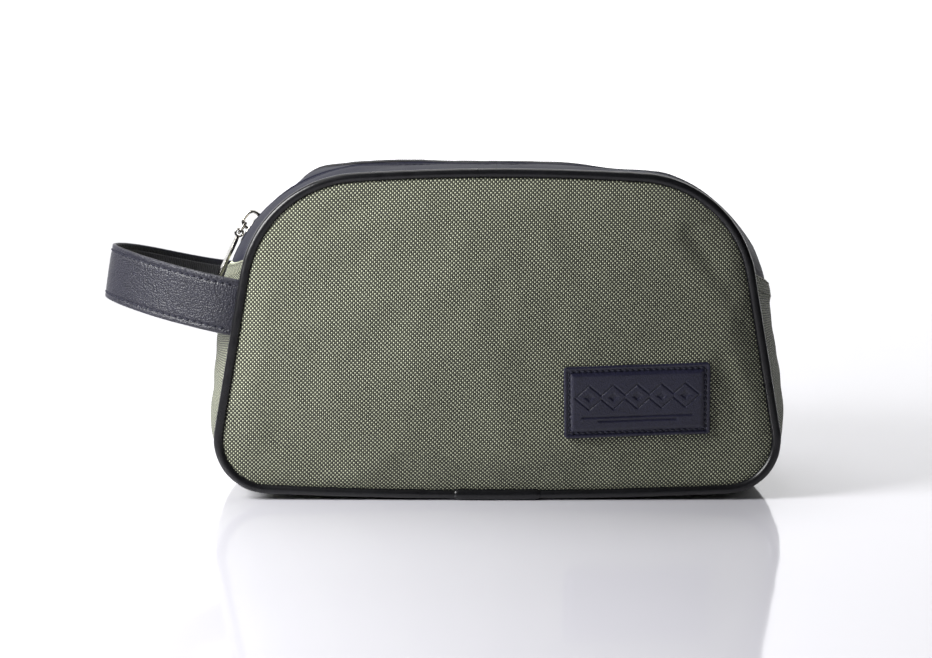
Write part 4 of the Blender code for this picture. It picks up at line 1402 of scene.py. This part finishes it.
@dataclass
class Slider:
    """The cast slider with its crown, the wire link, the long tab and the zip's stops."""

    form: PouchForm
    twist: float = math.radians(16)
    half_length: float = 6.8 * MM
    half_width: float = 4.6 * MM

    def __post_init__(self) -> None:
        """Reads the pivots of the slider, the link and the tab."""
        self.centre = np.array(joint("slider_travel")["pos_m"])
        self.eye = np.array(joint("pull_link_hinge")["pos_m"])
        self.hook = np.array(joint("pull_tab_hinge")["pos_m"])
        self.radius = self.form.ridge.shoulder
        foot = box("slider_body")
        middle = (foot[0] + foot[1]) / 2 - self.centre
        self.angle = math.atan2(middle[2], -middle[0])

    def on(self, local: np.ndarray) -> np.ndarray:
        """Places (along the zip, across it, above the band) round the shoulder's arc."""
        turn = self.angle + local[..., 0] / self.radius
        reach = self.radius + local[..., 2]
        x = self.centre[0] - reach * np.cos(turn)
        z = self.centre[2] + reach * np.sin(turn)
        return np.stack([x, local[..., 1], z], axis=-1)

    def shield(self, wide: float) -> np.ndarray:
        """A shield outline: round shoulders at one end, narrowing to a blunt nose."""
        s = np.linspace(-1, 1, 26)
        half = wide * (0.60 + 0.40 * np.clip((s + 1) / 0.9, 0, 1) ** 0.8)
        ends = np.sqrt(np.clip(1 - np.abs(s) ** 9, 0, 1))
        half = np.maximum(half * ends, 0.25 * wide * (1 - np.abs(s)) ** 0.3)
        right = np.stack([s * self.half_length, half], axis=1)
        return np.concatenate([right, right[::-1] * np.array([1, -1])])

    def build(self) -> None:
        """Every metal piece of the zip."""
        self.build_body()
        self.build_crown()
        self.build_link()
        self.build_tab()
        self.build_stops()

    def build_body(self) -> None:
        """Two bent shield plates joined by a web, each a closed shell in one piece."""
        parts = []
        for name, low, high, wide in (
            ("top", -0.3 * MM, 1.1 * MM, self.half_width),
            ("foot", -4.3 * MM, -2.9 * MM, 0.85 * self.half_width),
        ):
            grid = self.on(plate(self.shield(wide), low, high, 0.45 * MM))
            parts.append(surface("slider_" + name, grid, ring=True, capped=True))
        turn = np.linspace(0, 2 * math.pi, 16, endpoint=False)
        oval = np.stack([2.0 * MM + 2.6 * MM * np.cos(turn), 0.3 * MM * np.sin(turn)], axis=1)
        web = np.array([np.concatenate([oval, np.full((16, 1), h)], axis=1) for h in (0.2 * MM, -3.4 * MM)])
        parts.append(surface("slider_web", self.on(web), ring=True, capped=True))
        piece = join("slider_body", parts)
        dress(piece, NICKEL, "slider", ("slider_body",))

    def build_crown(self) -> None:
        """A flat bar bent into an arch over the plate, wider at its feet."""
        share = np.linspace(0, math.pi, 34)
        along_zip = 4.4 * MM - 4.0 * MM * np.sign(np.cos(share)) * np.abs(np.cos(share)) ** 0.7
        rise = 0.6 * MM + 4.7 * MM * np.sin(share) ** 0.62
        line = np.stack([along_zip, np.zeros(34), rise], axis=1)
        centres = self.on(line)
        ahead = unit(np.gradient(centres, axis=0))
        sideways = np.broadcast_to(np.array([0.0, 1.0, 0.0]), centres.shape)
        outward = np.cross(sideways, ahead)
        wide = 1.0 + 0.25 * np.abs(np.cos(share)) ** 3
        section = round_bar(2.6 * MM, 1.5 * MM, 5)
        across = section[None, :, :1] * wide[:, None, None] * sideways[:, None]
        grid = centres[:, None] + across + section[None, :, 1:] * outward[:, None]
        piece = surface("slider_crown", grid, ring=True, capped=True)
        dress(piece, NICKEL, "slider", ("slider_crown",))

    def build_link(self) -> None:
        """A wire loop, straight-sided with round ends, from the crown to the tab's eye."""
        way = unit(self.hook - self.eye)
        across = np.array([0.0, 1.0, 0.0])
        length = float(np.linalg.norm(self.hook - self.eye))
        turn = np.linspace(0, 2 * math.pi, 64, endpoint=False)
        u = np.sign(np.cos(turn)) * np.abs(np.cos(turn)) ** 0.55 * length / 2 + length / 2
        v = np.sign(np.sin(turn)) * np.abs(np.sin(turn)) ** 0.75 * 2.55 * MM
        centres = self.eye + u[:, None] * way + v[:, None] * across
        ahead = unit(np.roll(centres, -1, axis=0) - np.roll(centres, 1, axis=0))
        up = np.broadcast_to(np.cross(across, way), centres.shape)
        grid = tube(centres, np.cross(ahead, up), up, 0.68 * MM, 12)
        piece = surface("pull_link", grid, ring=True, loop=True)
        dress(piece, NICKEL, "pull_link", ("pull_link",))

    def build_tab(self) -> None:
        """A long flat tab with a raised rim, and a turned eye round the link."""
        way = np.array([-math.sin(math.radians(26)), 0, -math.cos(math.radians(26))])
        level = np.array([0.0, 1.0, 0.0])
        across = math.cos(self.twist) * level + math.sin(self.twist) * np.cross(level, way)
        up = np.cross(across, way)
        s = np.linspace(0, 1, 30)
        first, last = 1.9 * MM, 24.15 * MM
        half = 2.6 * MM * (0.62 + 0.38 * np.clip(s / 0.25, 0, 1) ** 0.7) * (1 - 0.14 * s)
        half = half * np.sqrt(np.clip(1 - np.clip((s - 0.9) / 0.1, 0, 1) ** 2.4, 0.0, 1)) + 0.05 * MM
        right = np.stack([first + s * (last - first), half], axis=1)
        outline = np.concatenate([right, right[::-1] * np.array([1, -1])])
        local = plate(outline, -0.75 * MM, 0.75 * MM, 0.45 * MM)
        middle = outline.mean(axis=0)
        inward = np.linalg.norm((local[..., :2] - middle) / np.array([11 * MM, 2.6 * MM]), axis=-1)
        local[..., 2] *= 1 - 0.22 * np.clip(1.25 - inward, 0, 0.6)
        grid = self.hook + local[..., :1] * way + local[..., 1:2] * across + local[..., 2:] * up
        blade = surface("pull_blade", grid, ring=True, capped=True)
        turn = np.linspace(0, 2 * math.pi, 28, endpoint=False)
        spokes = np.cos(turn)[:, None] * way + np.sin(turn)[:, None] * np.cross(level, way)
        corner = np.linspace(0, 2 * math.pi, 12, endpoint=False)
        ring_r = 1.72 * MM + 0.52 * MM * np.cos(corner)
        ring_y = 1.45 * MM * np.sign(np.sin(corner)) * np.abs(np.sin(corner)) ** 0.4
        grid = self.hook + ring_r[None, :, None] * spokes[:, None] + ring_y[None, :, None] * level
        eye = surface("pull_eye", grid, ring=True, loop=True)
        piece = join("pull_tab", [blade, eye])
        dress(piece, NICKEL, "pull_tab", ("pull_tab",))

    def build_stops(self) -> None:
        """Small clamps with round edges, each in its frame node's box along the zip."""
        for name, sign, y, wide in (
            ("top_stop_front", -1, -1.95 * MM, 1.25 * MM),
            ("top_stop_back", -1, 1.95 * MM, 1.25 * MM),
            ("bottom_stop", 1, 0.0, 3.2 * MM),
        ):
            turn = np.linspace(0, 2 * math.pi, 24, endpoint=False)
            u = 0.85 * MM * np.sign(np.cos(turn)) * np.abs(np.cos(turn)) ** 0.4
            v = wide * np.sign(np.sin(turn)) * np.abs(np.sin(turn)) ** 0.4
            outline = np.stack([u - (self.angle - math.radians(25)) * self.radius, v + y], axis=1)
            grid = self.on(plate(outline, -2.6 * MM, 0.1 * MM, 0.4 * MM))
            if sign > 0:
                grid = grid * np.array([-1, 1, 1])
            piece = surface(name, grid, ring=True, capped=True)
            dress(piece, NICKEL, "pouch", (name,))


def join(name: str, parts: list) -> bpy.types.Object:
    """One object from several, with the faces of each kept as they are."""
    points = []
    faces = []
    for part in parts:
        mesh = part.data
        flat = np.empty(len(mesh.vertices) * 3, np.float32)
        mesh.vertices.foreach_get("co", flat)
        count = sum(len(p) for p in points)
        faces += [[count + v for v in face.vertices] for face in mesh.polygons]
        points.append(flat.reshape(-1, 3))
        bpy.data.objects.remove(part)
    return put_mesh(name, np.concatenate(points), faces)


# ---------------------------------------------------------------- wrist loop


@dataclass
class WristLoop:
    """A leatherette strap lined with webbing, sewn into both side seams."""

    form: PouchForm
    pivot_out: float = 20 * MM
    start: float = 1.0 * MM
    reach: float = 67 * MM
    leather: float = 1.6 * MM
    webbing: float = 1.4 * MM
    width: float = 25 * MM
    web_width: float = 19.5 * MM
    pitch: float = 3.3 * MM
    inset: float = 2.7 * MM

    def __post_init__(self) -> None:
        """Works out the loop's frame from its joint and the seam's lean."""
        lean = self.form.seam.lean
        self.outward = np.array([-math.cos(lean), 0, math.sin(lean)])
        self.upward = np.array([math.sin(lean), 0, math.cos(lean)])
        self.seam = np.array(joint("wrist_loop_swing")["pos_m"]) - self.pivot_out * self.outward
        root = self.form.edge - self.leather
        nose = self.reach - self.leather
        first = 2.4 * MM
        share = np.linspace(0, 1, 500)[:, None]
        ends = np.array([[first, -root], [first + 0.4 * nose, -root], [nose, -0.2 * nose], [nose, 0]])
        weights = ((1 - share) ** 3, 3 * share * (1 - share) ** 2, 3 * share**2 * (1 - share), share**3)
        half = sum(w * e for w, e in zip(weights, ends))
        lead = np.array([[self.start, -root]])
        half = np.concatenate([lead, half])
        line = np.concatenate([half, half[-2::-1] * np.array([1, -1])])
        self.distance = along(line)
        self.line = line

    def at(self, distance: np.ndarray, height: np.ndarray, depth: np.ndarray) -> np.ndarray:
        """Points of the strap: along its path, across its width and inwards from its face."""
        distance, height, depth = np.broadcast_arrays(distance, height, depth)
        here = np.stack([np.interp(distance, self.distance, self.line[:, k]) for k in range(2)], axis=-1)
        step = 0.6 * MM
        fore = np.stack([np.interp(distance + step, self.distance, self.line[:, k]) for k in range(2)], -1)
        back = np.stack([np.interp(distance - step, self.distance, self.line[:, k]) for k in range(2)], -1)
        way = unit(fore - back)
        inward = np.stack([-way[..., 1], way[..., 0]], axis=-1)
        flat = here + depth[..., None] * inward
        y = flat[..., 1]
        share = np.clip((distance / self.distance[-1] - 0.52) / 0.36, 0, 1)
        height = height - 4.0 * MM * share * share * (3 - 2 * share)
        points = self.seam + flat[..., :1] * self.outward + height[..., None] * self.upward
        points[..., 1] = y
        return points

    def hand_over(self, piece: bpy.types.Object) -> None:
        """Bakes the piece's placement into its mesh."""
        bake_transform(piece)

    def build(self) -> None:
        """The leather, the webbing and two rows of stitches on the leather's outer face."""
        whole = self.distance[-1]
        distance = np.linspace(0, whole, 300)
        section = round_bar(self.width, self.leather, 8, 56)
        row = np.exp(-(((np.abs(section[:, 0]) - self.width / 2 + self.inset) / (0.7 * MM)) ** 2))
        groove = 0.32 * MM * row * (section[:, 1] < 0)
        drape = 0.25 * MM * waves(distance[:, None], section[None, :, 0], 23, 40 * MM)
        pucker = 0.06 * MM * np.cos(2 * math.pi * distance / self.pitch)[:, None] * row[None]
        depth = section[None, :, 1] - self.leather / 2 + groove[None] + drape + pucker
        grid = self.at(distance[:, None], section[None, :, 0], depth)
        piece = surface("strap_leather", grid, ring=True, capped=True)
        nodes = ("strap_leather", "strap_root_front", "strap_root_back")
        dress(piece, NAVY, "", nodes)
        self.hand_over(piece)
        section = round_bar(self.web_width, self.webbing, 5)
        depth = section[None, :, 1] + self.webbing / 2 - 0.1 * MM + drape[:, :1]
        grid = self.at(distance[:, None], section[None, :, 0], depth)
        around = along(np.concatenate([section, section[:1]]))
        flat = np.stack(np.broadcast_arrays(distance[:, None], around[None]), axis=-1)
        piece = surface("strap_webbing", grid, uv=flat, ring=True, capped=True)
        dress(piece, WEBBING, "", ("strap_webbing",))
        self.hand_over(piece)
        self.build_stitches(whole)

    def build_stitches(self, whole: float) -> None:
        """Two rows of thread along the loop, on the leather's outer face."""
        count = int((whole - 8 * MM) / self.pitch)
        distance = 4 * MM + (np.arange(count) + 0.5) * self.pitch
        for word, sign in (("upper", 1), ("lower", -1)):
            height = np.full(count, sign * (self.width / 2 - self.inset))
            drape = 0.25 * MM * waves(distance, height, 23, 40 * MM)
            depth = -self.leather + 0.16 * MM + drape
            points = self.at(distance, height, depth)
            step = 0.3 * MM
            ahead = self.at(distance + step, height, depth) - self.at(distance - step, height, depth)
            normal = self.at(distance, height, depth - 1 * MM) - points
            piece = stitches("strap_thread_" + word, points, ahead, normal, 2.7 * MM, 0.42 * MM)
            dress(piece, NAVY_THREAD, "")
            self.hand_over(piece)


# ---------------------------------------------------------------- patch


@dataclass
class Patch:
    """The stitched leatherette patch with a plain geometric mark pressed into it."""

    panel: Panel
    length: float = 64 * MM
    height: float = 32 * MM
    thick: float = 1.2 * MM
    turn: float = math.radians(1.2)
    corner: float = 1.8 * MM
    inset: float = 2.2 * MM
    pitch: float = 2.6 * MM

    def __post_init__(self) -> None:
        """Centres the patch on its frame node."""
        middle = box("leather_patch").mean(axis=0)
        self.centre = middle[[0, 2]]

    def place(self, u: np.ndarray, v: np.ndarray, lift: np.ndarray) -> np.ndarray:
        """Points on the panel from the patch's own (u, v), this far off the cloth."""
        x = self.centre[0] + u * math.cos(self.turn) - v * math.sin(self.turn)
        z = self.centre[1] + u * math.sin(self.turn) + v * math.cos(self.turn)
        y = self.panel.fit(x, z, 6 * MM) - 0.25 * MM - lift
        return np.stack([x, y, z], axis=-1)

    def pressed(self, u: np.ndarray, v: np.ndarray) -> np.ndarray:
        """Depth of the pressed mark: five lozenges in a row over a pair of level lines.

        Each line is deep · exp(-(distance / half width)²), the lozenges' by |u| / a + |v| / b.
        """
        row = v - 2.2 * MM
        beat = 10.5 * MM
        near = u - beat * np.clip(np.round(u / beat), -2, 2)
        lozenge = np.abs(near) / 1.15 + np.abs(row)
        total = np.exp(-(((lozenge - 5.4 * MM) / (0.42 * MM)) ** 2))
        total += np.exp(-((lozenge / (1.9 * MM)) ** 6))
        for level, reach in ((-6.6 * MM, 24 * MM), (-8.4 * MM, 17 * MM)):
            away = np.hypot(np.clip(np.abs(u) - reach, 0, None), v - level)
            total += np.exp(-((away / (0.42 * MM)) ** 2))
        return 0.42 * MM * np.clip(total, 0, 1)

    def build(self) -> None:
        """The patch as one closed shell, and its ring of stitches."""
        columns, rows = 250, 128
        u = np.linspace(-1, 1, columns)[None, :] * np.ones((rows, 1))
        v = np.linspace(-1, 1, rows)[:, None] * np.ones((1, columns))
        half_u, half_v = self.length / 2, self.height / 2
        u, v = u * half_u, v * half_v
        over = np.stack([np.abs(u) - half_u + self.corner, np.abs(v) - half_v + self.corner], axis=-1)
        out = np.clip(over, 0, None)
        reach = np.linalg.norm(out, axis=-1)
        square = out.max(axis=-1)
        pull = np.where(reach > 1e-9, square / np.maximum(reach, 1e-9), 1)[..., None]
        fixed = out * pull - out
        u = u + np.sign(u) * fixed[..., 0]
        v = v + np.sign(v) * fixed[..., 1]
        rim = np.maximum(np.abs(u) - half_u, np.abs(v) - half_v)
        edge = np.clip(-rim / (0.8 * MM), 0, 1)
        dome = self.thick * (0.35 + 0.65 * np.sqrt(1 - (1 - edge) ** 2))
        groove = 0.55 * MM * np.exp(-(((rim + self.inset) / (0.75 * MM)) ** 2))
        field = 0.5 * MM * np.clip((-rim - 3.2 * MM) / (1.2 * MM), 0, 1) ** 0.5
        top = self.place(u, v, dome - groove + field - self.pressed(u, v))
        low = self.place(u, v, np.zeros_like(u))
        flat = np.stack([u, v], axis=-1)
        piece = self.panel.close("leather_patch", top, low, flat)
        dress(piece, PATCH_NAVY, "pouch", ("leather_patch",))
        self.build_stitches(half_u - self.inset, half_v - self.inset)

    def build_stitches(self, a: float, b: float) -> None:
        """A ring of thread all round, just inside the edge."""
        corners = np.array([[-a, -b], [a, -b], [a, b], [-a, b]])
        spots = []
        ways = []
        for start, end in zip(corners, np.roll(corners, -1, axis=0)):
            side = end - start
            long = float(np.linalg.norm(side))
            count = round(long / self.pitch)
            share = (np.arange(count) + 0.5) / count
            spots.append(start + share[:, None] * side)
            ways.append(np.broadcast_to(side / long, (count, 2)))
        spots = np.concatenate(spots)
        ways = np.concatenate(ways)
        lift = np.full(len(spots), self.thick - 0.4 * MM)
        points = self.place(spots[:, 0], spots[:, 1], lift)
        fore = spots + 0.3 * MM * ways
        ahead = self.place(fore[:, 0], fore[:, 1], lift) - points
        normal = np.broadcast_to(np.array([0.0, -1.0, 0.0]), points.shape)
        piece = stitches("patch_thread", points, ahead, normal, 2.1 * MM, 0.4 * MM)
        dress(piece, NAVY_THREAD, "pouch")


# ---------------------------------------------------------------- studio


@dataclass
class Studio:
    """A plain pale ground, soft light from the front left and the camera."""

    eye: tuple = (-13.8 * MM, -834.7 * MM, 190 * MM)
    pitch: float = math.radians(8.25)
    lens: float = 70.2

    def ground(self) -> None:
        """A glossy white table top and, far behind it, a glowing white sheet."""
        for name, finish, near, far, low, high in (
            ("table", GROUND, -2.6, 3.0, 0.0, 0.0),
            ("backdrop", BACKDROP, 3.0, 3.0, -0.3, 3.2),
        ):
            x = np.linspace(-4.5, 4.5, 4)[None, :]
            share = np.linspace(0, 1, 4)[:, None]
            y = near + share * (far - near)
            z = low + share * (high - low)
            grid = np.stack(np.broadcast_arrays(x, y, z), axis=-1).astype(float)
            piece = surface(name, grid, flip=False)
            piece.data.materials.append(WARDROBE.of(finish))

    def lamp(self, name: str, place: tuple, aim: tuple, wide: tuple, power: float, tint: str) -> None:
        """A rectangular soft box.

        Args:
            name: The light's name.
            place: Where it stands.
            aim: What it points at.
            wide: Its two sides.
            power: Watts.
            tint: Its colour.
        """
        light = bpy.data.lights.new(name, "AREA")
        light.shape = "RECTANGLE"
        light.size, light.size_y = wide
        light.energy = power
        light.color = linear(tint)[:3]
        made = bpy.data.objects.new(name, light)
        bpy.context.scene.collection.objects.link(made)
        made.location = place
        way = np.array(aim) - np.array(place)
        turn = math.atan2(way[1], way[0]) - math.pi / 2
        tilt = math.atan2(way[2], math.hypot(way[0], way[1])) + math.pi / 2
        made.rotation_euler = (tilt, 0, turn)

    def build(self) -> None:
        """The ground, the lights, the world and the camera."""
        self.ground()
        self.lamp("key", (-0.52, -0.27, 0.42), (-0.03, -0.04, 0.07), (0.26, 0.4), 8.2, "#ffffff")
        self.lamp("top", (-0.1, 0.2, 0.95), (0, 0.0, 0.1), (0.8, 0.3), 3, "#ffffff")
        world = bpy.data.worlds.new("studio")
        world.use_nodes = True
        sky = world.node_tree.nodes["Background"]
        sky.inputs["Color"].default_value = linear("#fbfbff")
        sky.inputs["Strength"].default_value = 0.02
        bpy.context.scene.world = world
        bpy.context.scene.view_settings.view_transform = "Standard"
        camera = bpy.data.cameras.new("camera")
        camera.lens = self.lens
        camera.sensor_width = 36
        camera.clip_start = 0.01
        made = bpy.data.objects.new("camera", camera)
        bpy.context.scene.collection.objects.link(made)
        made.location = self.eye
        made.rotation_euler = (math.pi / 2 - self.pitch, 0, 0)
        bpy.context.scene.camera = made


def main() -> None:
    """Builds the studio and every piece, in order."""
    logging.basicConfig(level=logging.INFO, format="%(name)s: %(message)s")
    bpy.context.scene.frame_set(1)
    Studio().build()
    form = PouchForm()
    panels = {side: Panel(form, side) for side in Side}
    for side, panel in panels.items():
        panel.build()
        Piping(form, side).build()
        LOG.info("%s panel and piping built", side.word)
    strip = Strip(form)
    strip.build()
    LOG.info("strip built")
    for side in Side:
        for end in End:
            ZipBand(form, strip, side, end).build()
    LOG.info("band and zip built")
    Slider(form).build()
    WristLoop(form).build()
    Patch(panels[Side.FRONT]).build()
    LOG.info("slider, loop and patch built")


if __name__ == "__main__":
    main()
